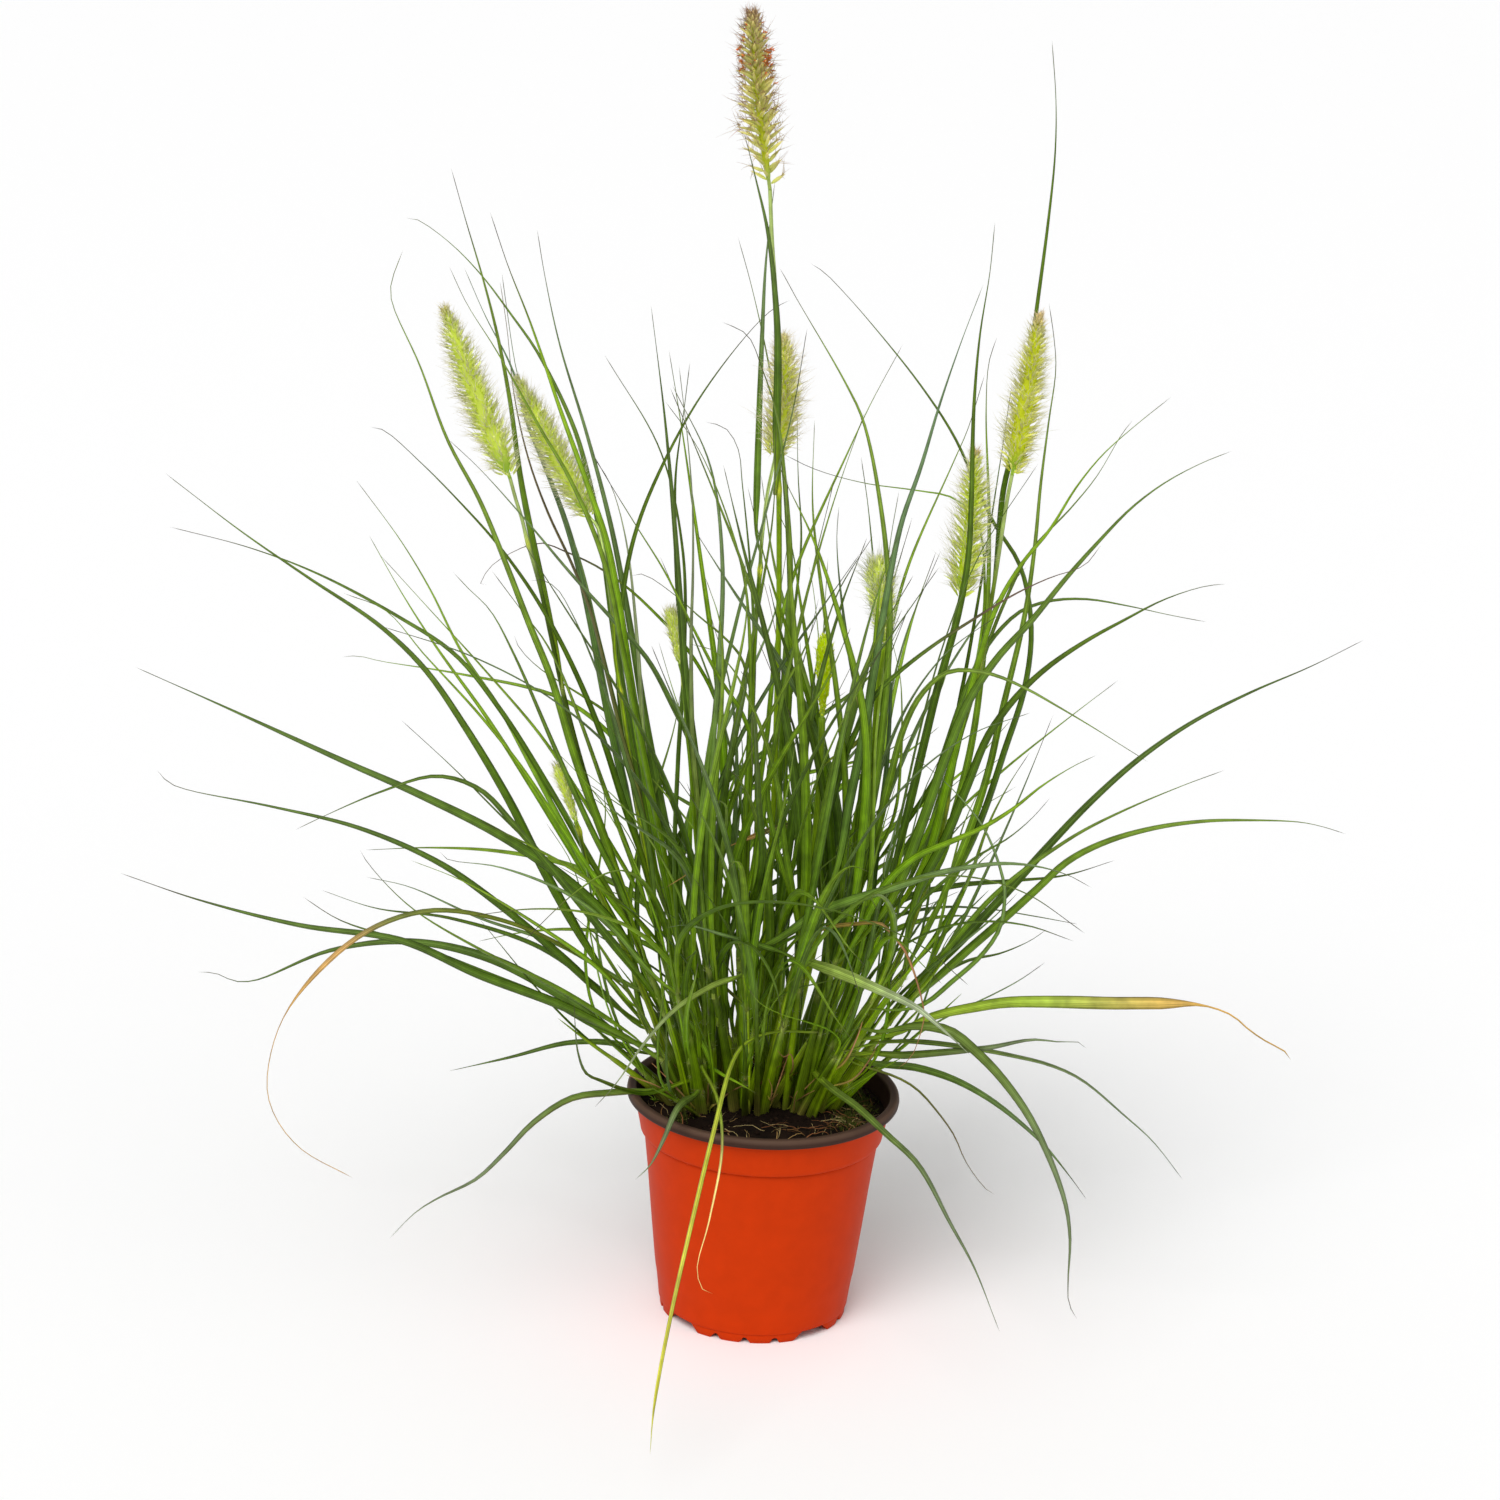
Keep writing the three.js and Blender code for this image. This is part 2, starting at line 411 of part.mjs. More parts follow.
    [918, 1090], [899, 1078], [870, 1074]] },
  { depth: -150, width: 5.5, route: [[971, 1056], [954, 1040], [935, 1023], [918, 1009], [876, 988],
    [834, 970], [812, 963], [790, 957]] },
  { depth: -120, width: 3, route: [[897, 1069], [911, 1057], [921, 1031], [924, 1017], [922, 1002],
    [910, 963], [901, 946], [880, 924], [865, 924], [823, 930], [806, 960]] },
];

const UP = new THREE.Vector3(0, 0, 1);
const TO_EYE = new THREE.Vector3(0, -EYE_BACK, EYE_HEIGHT).normalize();

/** A repeatable source of numbers between 0 and 1. */
function makeDice(seed) {
  let state = seed;
  return () => {
    state = (state + 0x6d2b79f5) | 0;
    let mixed = Math.imul(state ^ (state >>> 15), 1 | state);
    mixed = (mixed + Math.imul(mixed ^ (mixed >>> 7), 61 | mixed)) ^ mixed;
    return ((mixed ^ (mixed >>> 14)) >>> 0) / 4294967296;
  };
}

/** The point at a given depth on the line of sight through a pixel of the picture. */
function sightPoint(u, v, depth) {
  const across = u - PICTURE_MIDDLE;
  const down = v - PICTURE_MIDDLE;
  const right = (across * Math.cos(EYE_ROLL) + down * Math.sin(EYE_ROLL)) / EYE_FOCAL;
  const rise = (across * Math.sin(EYE_ROLL) - down * Math.cos(EYE_ROLL)) / EYE_FOCAL;
  const ahead = Math.cos(EYE_PITCH) + rise * Math.sin(EYE_PITCH);
  const up = rise * Math.cos(EYE_PITCH) - Math.sin(EYE_PITCH);
  const x = right * Math.cos(EYE_YAW) + ahead * Math.sin(EYE_YAW);
  const y = ahead * Math.cos(EYE_YAW) - right * Math.sin(EYE_YAW);
  const reach = (EYE_BACK + depth) / y;
  return new THREE.Vector3(x * reach, depth, EYE_HEIGHT + up * reach);
}

/** The pixel of the picture that shows a point. */
function pixelOf(point) {
  const y = point.y + EYE_BACK;
  const z = point.z - EYE_HEIGHT;
  const right = point.x * Math.cos(EYE_YAW) - y * Math.sin(EYE_YAW);
  const ahead = point.x * Math.sin(EYE_YAW) + y * Math.cos(EYE_YAW);
  const distance = ahead * Math.cos(EYE_PITCH) - z * Math.sin(EYE_PITCH);
  const rise = ahead * Math.sin(EYE_PITCH) + z * Math.cos(EYE_PITCH);
  const across = right / distance * EYE_FOCAL;
  const down = -rise / distance * EYE_FOCAL;
  return {
    u: PICTURE_MIDDLE + across * Math.cos(EYE_ROLL) - down * Math.sin(EYE_ROLL),
    v: PICTURE_MIDDLE + across * Math.sin(EYE_ROLL) + down * Math.cos(EYE_ROLL),
  };
}

/**
 * Points in space for a route, root first, from a root point to a tip at the given depth. Between the
 * places with a depth of their own, depth changes evenly. The shift grows along the route up to the tip.
 */
function routeInSpace(route, rootPoint, tipDepth, shift = 0) {
  const inward = [...route].reverse();
  const travelled = [0];
  for (let i = 1; i < inward.length; i += 1) {
    const step = Math.hypot(inward[i][0] - inward[i - 1][0], inward[i][1] - inward[i - 1][1]);
    travelled.push(travelled[i - 1] + step);
  }
  const length = travelled[travelled.length - 1];
  const marks = inward
    .map((pixel, i) => ({ at: travelled[i], depth: pixel[2] }))
    .slice(1, -1)
    .filter(({ depth }) => depth !== undefined);
  marks.unshift({ at: 0, depth: rootPoint.y });
  marks.push({ at: length, depth: tipDepth });
  return inward.map((pixel, i) => {
    if (i === 0) {
      return rootPoint.clone();
    }
    const next = marks.findIndex(({ at }) => at >= travelled[i]);
    const last = marks[next - 1];
    const share = (travelled[i] - last.at) / (marks[next].at - last.at);
    const depth = THREE.MathUtils.lerp(last.depth, marks[next].depth, share);
    return sightPoint(pixel[0], pixel[1], depth + shift * travelled[i] / length);
  });
}

/** The few points of a line that keep it within a tolerance of its full course. */
function straightened(line, tolerance) {
  const chord = new THREE.Line3(line[0], line[line.length - 1]);
  const onChord = new THREE.Vector3();
  const offsets = line.map((point) => chord.closestPointToPoint(point, true, onChord).distanceTo(point));
  const farthest = Math.max(...offsets);
  if (farthest <= tolerance) {
    return [chord.start, chord.end];
  }
  const turn = offsets.indexOf(farthest);
  const before = straightened(line.slice(0, turn + 1), tolerance);
  return [...before.slice(0, -1), ...straightened(line.slice(turn), tolerance)];
}

/** A smooth line through the points, in no more straight steps than are allowed. */
function smoothLine(points, mostSteps) {
  const course = new THREE.CatmullRomCurve3(points).getSpacedPoints(COURSE_STEPS);
  let tolerance = FINEST_TOLERANCE;
  let line = straightened(course, tolerance);
  while (line.length > mostSteps + 1) {
    tolerance *= 1.2;
    line = straightened(course, tolerance);
  }
  return line;
}

/** The share of a line's length that lies before each of its points. */
function sharesOf(line) {
  const lengths = [0];
  for (let i = 1; i < line.length; i += 1) {
    lengths.push(lengths[i - 1] + line[i].distanceTo(line[i - 1]));
  }
  return lengths.map((length) => length / lengths[lengths.length - 1]);
}

function tangentsOf(line) {
  return line.map((_, i) => {
    const before = line[Math.max(i - 1, 0)];
    const after = line[Math.min(i + 1, line.length - 1)];
    return after.clone().sub(before).normalize();
  });
}

/** Beads along a line, as places and radii, which stand for it where pieces are kept apart. */
function beadsAlong(line, radiusAt) {
  const beads = [];
  const shares = sharesOf(line);
  for (let i = 1; i < line.length; i += 1) {
    const steps = Math.ceil(line[i].distanceTo(line[i - 1]) / BEAD_STEP);
    for (let k = 0; k < steps; k += 1) {
      const share = shares[i - 1] + (shares[i] - shares[i - 1]) * k / steps;
      beads.push({ place: line[i - 1].clone().lerp(line[i], k / steps), radius: radiusAt(share) });
    }
  }
  beads.push({ place: line[line.length - 1].clone(), radius: radiusAt(1) });
  return beads;
}

/** All beads laid so far, in a grid of cells, so that near ones are found quickly. */
const CELL = 18;
const NEIGHBOURS = [-1, 0, 1].flatMap((x) => [-1, 0, 1].flatMap((y) => [-1, 0, 1].map((z) => [x, y, z])));
const takenSpace = new Map();

function cellKey(x, y, z) {
  return `${x},${y},${z}`;
}

function takeSpace(node, beads) {
  for (const { place, radius } of beads) {
    const key = cellKey(...place.toArray().map((value) => Math.floor(value / CELL)));
    if (!takenSpace.has(key)) {
      takenSpace.set(key, []);
    }
    takenSpace.get(key).push({ place, radius, node });
  }
}

/** How far a bead is from the pot, the soil and the floor: less than nothing where it is inside them. */
function gapToPot({ place, radius }) {
  const out = Math.hypot(place.x, place.y);
  const inside = Math.min(RIM_RADIUS - RIM_WIDTH - out, place.z - soilHeight(out));
  const clear = Math.max(place.z - RIM_TOP, out - RIM_RADIUS, inside);
  return Math.min(clear, place.z) - radius;
}

/** The smallest gap between a row of beads and the beads of every other node. */
function smallestGap(node, beads, enough) {
  let smallest = Infinity;
  for (const bead of beads) {
    const [x, y, z] = bead.place.toArray().map((value) => Math.floor(value / CELL));
    for (const [right, back, up] of NEIGHBOURS) {
      for (const other of takenSpace.get(cellKey(x + right, y + back, z + up)) ?? []) {
        if (other.node !== node) {
          smallest = Math.min(smallest, bead.place.distanceTo(other.place) - bead.radius - other.radius);
        }
      }
    }
    if (smallest < enough) {
      return smallest;
    }
  }
  return smallest;
}

/** Turns a closed three.js geometry into a solid that can be joined and cut. */
function solidOf(geometry) {
  geometry.deleteAttribute('normal');
  geometry.deleteAttribute('uv');
  const merged = mergeVertices(geometry, 1e-4);
  return new wasm.Manifold(new wasm.Mesh({
    numProp: 3,
    vertProperties: merged.getAttribute('position').array,
    triVerts: Uint32Array.from(merged.getIndex().array),
  }));
}

/** The largest body of a solid: without slivers and loose scraps, and with its sealed hollows filled. */
function largestBody(solid) {
  const bodies = solid.simplify(SLIVER).decompose();
  return bodies.reduce((largest, body) => (body.volume() > largest.volume() ? body : largest));
}

function meshOf(name, solid, material) {
  const { vertProperties, triVerts } = largestBody(solid).getMesh();
  const geometry = new THREE.BufferGeometry();
  geometry.setAttribute('position', new THREE.BufferAttribute(vertProperties, 3));
  geometry.setIndex(new THREE.BufferAttribute(triVerts, 1));
  const mesh = new THREE.Mesh(geometry, material);
  mesh.name = name;
  return mesh;
}

/** Moves the rings of a unit cylinder or cone onto a line. offsetAt places a ring's corner. */
function bendOnto(geometry, line, offsetAt) {
  const rings = line.length - 1;
  const position = geometry.getAttribute('position');
  for (let i = 0; i < position.count; i += 1) {
    const ring = Math.round((position.getY(i) + 0.5) * rings);
    const size = Math.hypot(position.getX(i), position.getZ(i));
    const place = line[ring].clone();
    if (size > 1e-6) {
      place.add(offsetAt(ring, position.getX(i) / size, position.getZ(i) / size));
    }
    position.setXYZ(i, place.x, place.y, place.z);
  }
  return solidOf(geometry);
}

/** A round tube on a line, with its radius given for each ring. */
function tube(line, sides, radiusAt) {
  const tangents = tangentsOf(line);
  const shares = sharesOf(line);
  const geometry = new THREE.CylinderGeometry(1, 1, 1, sides, line.length - 1);
  return bendOnto(geometry, line, (ring, x, z) => {
    const across = new THREE.Vector3(0, 1, 0).cross(tangents[ring]).normalize();
    const normal = tangents[ring].clone().cross(across);
    const radius = radiusAt(shares[ring]);
    return across.multiplyScalar(x * radius).addScaledVector(normal, -z * radius);
  });
}

/** A blade's width at a share of its length: narrow at the sheath, widest at a quarter, a long fine tip. */
function bladeWidthAt(share, widest) {
  const base = 0.3 + 0.7 * Math.min(share / 0.2, 1);
  return widest * base * (1 - share ** 2.4);
}

/** One blade: three-sided, folded at the keel, turned to face a direction, with a roll and a twist. */
function blade({ line, width, facing, roll, twist }) {
  const tangents = tangentsOf(line);
  const shares = sharesOf(line);
  const geometry = new THREE.ConeGeometry(1, 1, 3, line.length - 1);
  return bendOnto(geometry, line, (ring, x, z) => {
    const share = shares[ring];
    const across = facing.clone().cross(tangents[ring]).normalize();
    across.applyAxisAngle(tangents[ring], roll + twist * share);
    const normal = tangents[ring].clone().cross(across);
    const half = bladeWidthAt(share, width) / 2;
    const keel = BLADE_KEEL * (1 - 0.5 * share);
    return across.multiplyScalar(x / Math.sin(Math.PI / 3) * half).addScaledVector(normal, -z * keel);
  });
}

function bladeBeads({ line, width }) {
  return beadsAlong(line, (share) => Math.max(bladeWidthAt(share, width) / 2, LEAST_BEAD));
}

/** The soil's surface: flat in the middle and lower towards the pot's wall. */
function soilHeight(out) {
  return SOIL_CROWN - SOIL_DROP * Math.max(0, (out - SOIL_FLAT) / (SOIL_RADIUS - SOIL_FLAT));
}

/** A block across the foot ring, which cuts a gap or a notch into it. */
function footCut(angle, width, height) {
  const block = new THREE.BoxGeometry(width, 4 * FOOT_WIDTH, 2 * height);
  block.translate(0, -(FOOT_RADIUS - FOOT_WIDTH / 2), 0);
  block.rotateZ(angle);
  return solidOf(block);
}

/** The pot's section, from under its floor round the foot, wall and rolled rim to the floor's top. */
function potProfile() {
  const lip = (radius, height) => new THREE.Vector2(RIM_RADIUS + radius, RIM_TOP + height);
  return [
    new THREE.Vector2(0, FOOT_HEIGHT),
    new THREE.Vector2(FOOT_RADIUS - FOOT_WIDTH, FOOT_HEIGHT),
    new THREE.Vector2(FOOT_RADIUS - FOOT_WIDTH, 0),
    new THREE.Vector2(FOOT_RADIUS, 0),
    new THREE.Vector2(60.6, 14),
    new THREE.Vector2(62.6, 27),
    new THREE.Vector2(73.4, CREASE - 1.5),
    new THREE.Vector2(75.8, CREASE + 0.5),
    new THREE.Vector2(79.8, COLLAR_TOP),
    lip(-1, -6),
    lip(0, -3.2),
    lip(-1.4, -0.6),
    lip(-4, 0),
    lip(-6, -1.8),
    new THREE.Vector2(78.6, COLLAR_TOP),
    new THREE.Vector2(74.6, CREASE + 0.7),
    new THREE.Vector2(72.2, CREASE - 1.7),
    new THREE.Vector2(61.4, 27.2),
    new THREE.Vector2(55, FOOT_HEIGHT + WALL),
    new THREE.Vector2(0, FOOT_HEIGHT + WALL),
  ];
}

function turned(profile) {
  return solidOf(new THREE.LatheGeometry(profile, POT_SIDES).rotateX(Math.PI / 2));
}

function makePot() {
  let pot = turned(potProfile());
  for (let gap = 0; gap < FOOT_GAPS; gap += 1) {
    const lobe = FOOT_TURN + gap * 2 * Math.PI / FOOT_GAPS;
    pot = pot.subtract(footCut(lobe + Math.PI / FOOT_GAPS, FOOT_GAP_WIDTH, FOOT_GAP_HEIGHT));
    for (let notch = 0; notch < NOTCHES_A_LOBE; notch += 1) {
      const angle = lobe + (notch - (NOTCHES_A_LOBE - 1) / 2) * NOTCH_STEP;
      pot = pot.subtract(footCut(angle, NOTCH_WIDTH, NOTCH_HEIGHT));
    }
  }
  return pot;
}

/** The soil: it fills the pot, domes up a little, and has one plain hole for each stem's foot. */
function makeSoil(stems) {
  const floor = FOOT_HEIGHT + WALL + SEAT_GAP;
  const top = [SOIL_RADIUS, SOIL_FLAT, 0].map((out) => new THREE.Vector2(out, soilHeight(out)));
  let soil = turned([
    new THREE.Vector2(0, floor),
    new THREE.Vector2(54.6, floor),
    new THREE.Vector2(60.9, 27.3),
    new THREE.Vector2(71.8, CREASE - 1.6),
    new THREE.Vector2(74.1, CREASE + 0.9),
    ...top,
  ]);
  for (const { line } of stems) {
    const direction = line[1].clone().sub(line[0]).normalize();
    const start = line[0].clone().addScaledVector(direction, -SEAT_GAP);
    const end = line[0].clone().addScaledVector(direction, 3 * HOLE_DEPTH);
    soil = soil.subtract(tube([start, end], HOLE_SIDES, () => STEM_FOOT_RADIUS + HOLE_GAP));
  }
  return soil;
}

/** The places where stems stand: each bunch is a spiral of places with an even spacing. */
function stemPlaces() {
  return BUNCHES.flatMap((bunch, number) => Array.from({ length: bunch.stems }, (_, k) => {
    const out = STEM_SPACING * Math.sqrt(k + 0.5);
    const turn = k * GOLDEN_ANGLE + number;
    const x = bunch.x + out * Math.cos(turn);
    const y = bunch.y + out * Math.sin(turn);
    return { bunch: number, foot: new THREE.Vector3(x, y, soilHeight(Math.hypot(x, y)) - HOLE_DEPTH) };
  }));
}

/** The free place of a bunch that the picture shows nearest to a pixel. */
function takeNearestPlace(places, bunch, [u, v]) {
  let best = null;
  let bestDistance = Infinity;
  for (const place of places) {
    const seen = pixelOf(place.foot);
    const distance = Math.hypot(seen.u - u, seen.v - v);
    if (place.bunch === bunch && distance < bestDistance) {
      best = place;
      bestDistance = distance;
    }
  }
  places.splice(places.indexOf(best), 1);
  return best;
}

/** The flowering culms' stems, each from its foot in the soil to just under its head. */
function makeCulms(places) {
  return CULMS.map((culm, number) => {
    const base = culm.head[culm.head.length - 1];
    const lowest = culm.stem[culm.stem.length - 1];
    const { foot } = takeNearestPlace(places, culm.bunch, lowest);
    const footPixel = pixelOf(foot);
    const points = routeInSpace([base, ...culm.stem, [footPixel.u, footPixel.v]], foot, culm.depth);
    const line = smoothLine(points, STEM_STEPS);
    const end = line[line.length - 1];
    const inward = line[line.length - 2].clone().sub(end).normalize();
    end.addScaledVector(inward, HEAD_GAP);
    const stem = { name: `culm_${number + 1}`, line, tip: CULM_TOP_RADIUS, blades: [] };
    takeSpace(stem.name, stemBeads(stem));
    return stem;
  });
}

/** A sheath's line: it leans out from the clump's middle and its bunch's, and more with each step. */
function sheathLine({ bunch, foot }, length, nudge) {
  const lean = new THREE.Vector3(
    (foot.x - CLUMP_MIDDLE.x) * LEAN_PER_MM + (foot.x - BUNCHES[bunch].x) * BUNCH_LEAN_PER_MM,
    (foot.y - CLUMP_MIDDLE.y) * LEAN_PER_MM + (foot.y - BUNCHES[bunch].y) * BUNCH_LEAN_PER_MM,
    0,
  ).add(nudge);
  const line = [foot];
  for (let i = 0; i < SHEATH_STEPS; i += 1) {
    const direction = UP.clone().addScaledVector(lean, 0.8 + 0.2 * i).normalize();
    line.push(line[i].clone().addScaledVector(direction, length / SHEATH_STEPS));
  }
  return line;
}

/** The leafy shoots' sheaths, each nudged in a widening spiral until it is clear of the stems before it. */
function makeShoots(places, dice) {
  return places.map((place, number) => {
    const shoot = { name: `shoot_${number + 1}`, tip: SHEATH_TOP_RADIUS, blades: [] };
    const length = SHEATH_SHORTEST + SHEATH_SPREAD * dice();
    let best = { gap: -Infinity };
    for (let i = 0; i < SHEATH_TRIES && best.gap < STEM_CLEARANCE; i += 1) {
      const nudge = new THREE.Vector3(0.025 * Math.sqrt(i), 0, 0).applyAxisAngle(UP, i * GOLDEN_ANGLE);
      const line = sheathLine(place, length, nudge);
      const beads = stemBeads({ ...shoot, line });
      const gap = smallestGap(shoot.name, beads, best.gap);
      if (gap > best.gap) {
        best = { gap, line, beads };
      }
    }
    takeSpace(shoot.name, best.beads);
    return { ...shoot, line: best.line };
  });
}

function stemRadiusAt(stem, share) {
  return STEM_FOOT_RADIUS + share * (stem.tip - STEM_FOOT_RADIUS);
}

function stemBeads(stem) {
  return beadsAlong(stem.line, (share) => stemRadiusAt(stem, share));
}

/** The point at a share of a line's length, counted in its steps. */
function pointOn(line, share) {
  const place = share * (line.length - 1);
  const step = Math.min(Math.floor(place), line.length - 2);
  return line[step].clone().lerp(line[step + 1], place - step);
}

/** Of the places on a stem where blades may leave it, the one that the picture shows nearest to a pixel. */
function nearestShare(stem, [u, v]) {
  let best = { distance: Infinity };
  for (let i = 0; i <= ROOT_PLACES; i += 1) {
    const share = THREE.MathUtils.lerp(LOWEST_ROOT, HIGHEST_ROOT, i / ROOT_PLACES);
    const seen = pixelOf(pointOn(stem.line, share));
    const distance = Math.hypot(seen.u - u, seen.v - v);
    if (distance < best.distance) {
      best = { distance, share };
    }
  }
  return best;
}

/** The shoots that may carry a drawn blade: near its root, not full, and on the side that its tip goes to. */
function carriersOf(drawn, shoots) {
  const root = drawn.route[drawn.route.length - 1];
  return shoots
    .filter((stem) => stem.blades.length < MOST_BLADES)
    .map((stem) => {
      const { distance, share } = nearestShare(stem, root);
      const aside = Math.abs(stem.line[2].y - 0.25 * drawn.depth);
      return { stem, share, cost: distance + 0.25 * aside + 3 * stem.blades.length };
    })
    .sort((one, other) => one.cost - other.cost)
    .slice(0, CARRIERS);
}

/** The first of some ways to lay a blade that is clear of all other nodes, or else the clearest. */
function clearestWay(ways) {
  let best = { gap: -Infinity };
  for (let i = 0; i < ways.length && best.gap < BLADE_CLEARANCE; i += 1) {
    const beads = bladeBeads(ways[i]);
    const loose = beads.filter(({ place }) => place.distanceTo(beads[0].place) > ROOT_LENGTH);
    const potGap = Math.min(...loose.map(gapToPot));
    const gap = Math.min(potGap, smallestGap(ways[i].stem.name, beads, best.gap));
    if (gap > best.gap) {
      best = { gap, way: ways[i], beads };
    }
  }
  return best;
}

function layBlade({ way, beads }) {
  way.stem.blades.push(way);
  takeSpace(way.stem.name, beads);
}

/** All ways to lay a drawn blade: its tip at more and more different depths, its root on near shoots. */
function waysToDraw(drawn, carriers, roll, twist) {
  const ways = [];
  for (let i = 0; i < DEPTH_TRIES; i += 1) {
    const shift = DEPTH_SHIFT * Math.ceil(i / 2) * (i % 2 ? 1 : -1);
    for (const { stem, share } of carriers) {
      for (const rootShift of ROOT_SHIFTS) {
        const rootShare = THREE.MathUtils.clamp(share + rootShift, LOWEST_ROOT, HIGHEST_ROOT);
        const rootPoint = pointOn(stem.line, rootShare);
        const line = smoothLine(routeInSpace(drawn.route, rootPoint, drawn.depth, shift), BLADE_STEPS);
        ways.push({ stem, line, width: drawn.width, facing: TO_EYE, roll, twist });
      }
    }
  }
  return ways;
}

/** Lays the drawn blades, each on a culm of its own or on one of the nearest shoots. */
function layDrawnBlades(culms, shoots, dice) {
  for (const drawn of DRAWN_BLADES) {
    const root = drawn.route[drawn.route.length - 1];
    const carriers = drawn.culm === undefined
      ? carriersOf(drawn, shoots)
      : [{ stem: culms[drawn.culm], share: nearestShare(culms[drawn.culm], root).share }];
    const roll = 1.2 * (dice() - 0.5);
    const twist = 1.6 * (dice() - 0.5);
    const best = clearestWay(waysToDraw(drawn, carriers, roll, twist));
    layBlade(best);
  }
}

/** A blade laid by rule: it follows its sheath, then arches out to a tip in its own direction. */
function arch(stem, share, { turn, reach, height, droop }) {
  const root = pointOn(stem.line, share);
  const sheath = stem.line[SHEATH_STEPS].clone().sub(stem.line[0]).normalize();
  const out = new THREE.Vector3(Math.cos(turn), Math.sin(turn), 0);
  const tip = out.clone().multiplyScalar(reach).setZ(height);
  const span = root.distanceTo(tip);
  const end = out.clone().addScaledVector(UP, droop).normalize();
  return new THREE.CubicBezierCurve3(
    root,
    root.clone().addScaledVector(sheath, 0.42 * span),
    tip.clone().addScaledVector(end, -0.36 * span),
    tip,
  ).getPoints(6);
}

/** Fills up each shoot with blades by rule, towards the front and the back, which the picture hides. */
function layOtherBlades(shoots, dice) {
  for (const stem of shoots) {
    const foot = stem.line[0];
    const front = foot.y < CLUMP_MIDDLE.y;
    for (let i = 0; i < BLADE_DRAWS && stem.blades.length < BLADES_A_SHOOT; i += 1) {
      const fall = THREE.MathUtils.degToRad(12 + 72 * dice());
      const size = 0.62 + 0.36 * dice();
      const aside = 1.7 * (dice() - 0.5) + (front ? 1 : -1) * foot.x * 0.012;
      const turn = (front ? -Math.PI / 2 : Math.PI / 2) + aside;
      const reach = BLADE_REACH * Math.sin(fall) * size;
      const height = (front ? LOWEST_FRONT_TIP : LOWEST_BACK_TIP) + BLADE_RISE * Math.cos(fall) * size;
      const droop = 2 * Math.cos(fall) - 0.9 * dice();
      const share = THREE.MathUtils.lerp(HIGHEST_ROOT, 0.45, dice());
      const width = 3.4 + 2.6 * dice();
      const roll = 0.9 * (dice() - 0.5);
      const twist = 1.8 * (dice() - 0.5);
      const ways = TURN_SHIFTS.map((shift) => {
        const points = arch(stem, share, { turn: turn + shift, reach, height, droop });
        const facing = new THREE.Vector3(-1, 0, 1).applyAxisAngle(UP, turn + shift).normalize();
        return { stem, line: smoothLine(points, BLADE_STEPS), width, facing, roll, twist };
      });
      const best = clearestWay(ways);
      if (best.gap >= BLADE_CLEARANCE) {
        layBlade(best);
      }
    }
  }
}

/** A stem with its blades, fused into one body. */
function makeLeafyStem(stem) {
  let solid = tube(stem.line, STEM_SIDES, (share) => stemRadiusAt(stem, share));
  for (const way of stem.blades) {
    solid = solid.add(blade(way));
  }
  return solid;
}

/** A flower head's axis, base first, and its radius at a share of its length. */
function headLine(culm) {
  const points = culm.head.map(([u, v]) => sightPoint(u, v, culm.depth)).reverse();
  return new THREE.CatmullRomCurve3(points).getSpacedPoints(HEAD_STEPS);
}

function headFullness(share) {
  return Math.min(1, 0.55 + 2.2 * share) * Math.sqrt(Math.max(0, 1 - share ** 2.6));
}

/** A flower head: a slim core with spikes standing out of it all round, in a spiral. */
function makeHead(culm) {
  const line = headLine(culm);
  const core = CORE_SHARE * culm.radius;
  let head = tube(line, CORE_SIDES, (share) => Math.max(core * headFullness(share), THINNEST_CORE));
  const tangents = tangentsOf(line);
  for (let i = 0; i < culm.spikes; i += 1) {
    const share = 0.02 + 0.94 * (i + 0.5) / culm.spikes;
    const turn = i * GOLDEN_ANGLE;
    const tangent = tangents[Math.round(share * (line.length - 1))];
    const across = new THREE.Vector3(0, 1, 0).cross(tangent).normalize();
    const out = across.applyAxisAngle(tangent, turn);
    const reach = culm.radius * Math.max(headFullness(share), 0.35);
    const root = pointOn(line, share).addScaledVector(out, 0.3 * core);
    const tip = root.clone().addScaledVector(out, reach).addScaledVector(tangent, BRISTLE_RISE * reach);
    head = head.add(spike(root, tip));
  }
  return head;
}

/** A three-sided spike from a root to a point. */
function spike(root, tip) {
  const direction = tip.clone().sub(root);
  const length = direction.length();
  const geometry = new THREE.ConeGeometry(BRISTLE_RADIUS, length, 3, 1);
  geometry.translate(0, length / 2, 0);
  geometry.applyQuaternion(new THREE.Quaternion().setFromUnitVectors(
    new THREE.Vector3(0, 1, 0),
    direction.normalize(),
  ));
  geometry.translate(root.x, root.y, root.z);
  return solidOf(geometry);
}

function makeMaterial(color, roughness) {
  return new THREE.MeshStandardMaterial({ color, roughness, metalness: 0 });
}

function buildPlant() {
  const plant = new THREE.Group();
  const dice = makeDice(17);
  const places = stemPlaces();
  const culms = makeCulms(places);
  CULMS.forEach((culm, number) => {
    takeSpace(`head_${number + 1}`, beadsAlong(headLine(culm), (share) => culm.radius * headFullness(share)));
  });
  const shoots = makeShoots(places, dice);
  const stems = [...culms, ...shoots];
  layDrawnBlades(culms, shoots, dice);
  layOtherBlades(shoots, dice);

  plant.add(meshOf('pot', makePot(), makeMaterial(ORANGE, 0.45)));
  plant.add(meshOf('soil', makeSoil(stems), makeMaterial(PEAT, 0.95)));
  for (const stem of stems) {
    plant.add(meshOf(stem.name, makeLeafyStem(stem), makeMaterial(LEAF_GREEN, 0.6)));
  }
  CULMS.forEach((culm, number) => {
    plant.add(meshOf(`head_${number + 1}`, makeHead(culm), makeMaterial(HEAD_GREEN, 0.7)));
  });
  return plant;
}

export default buildPlant();
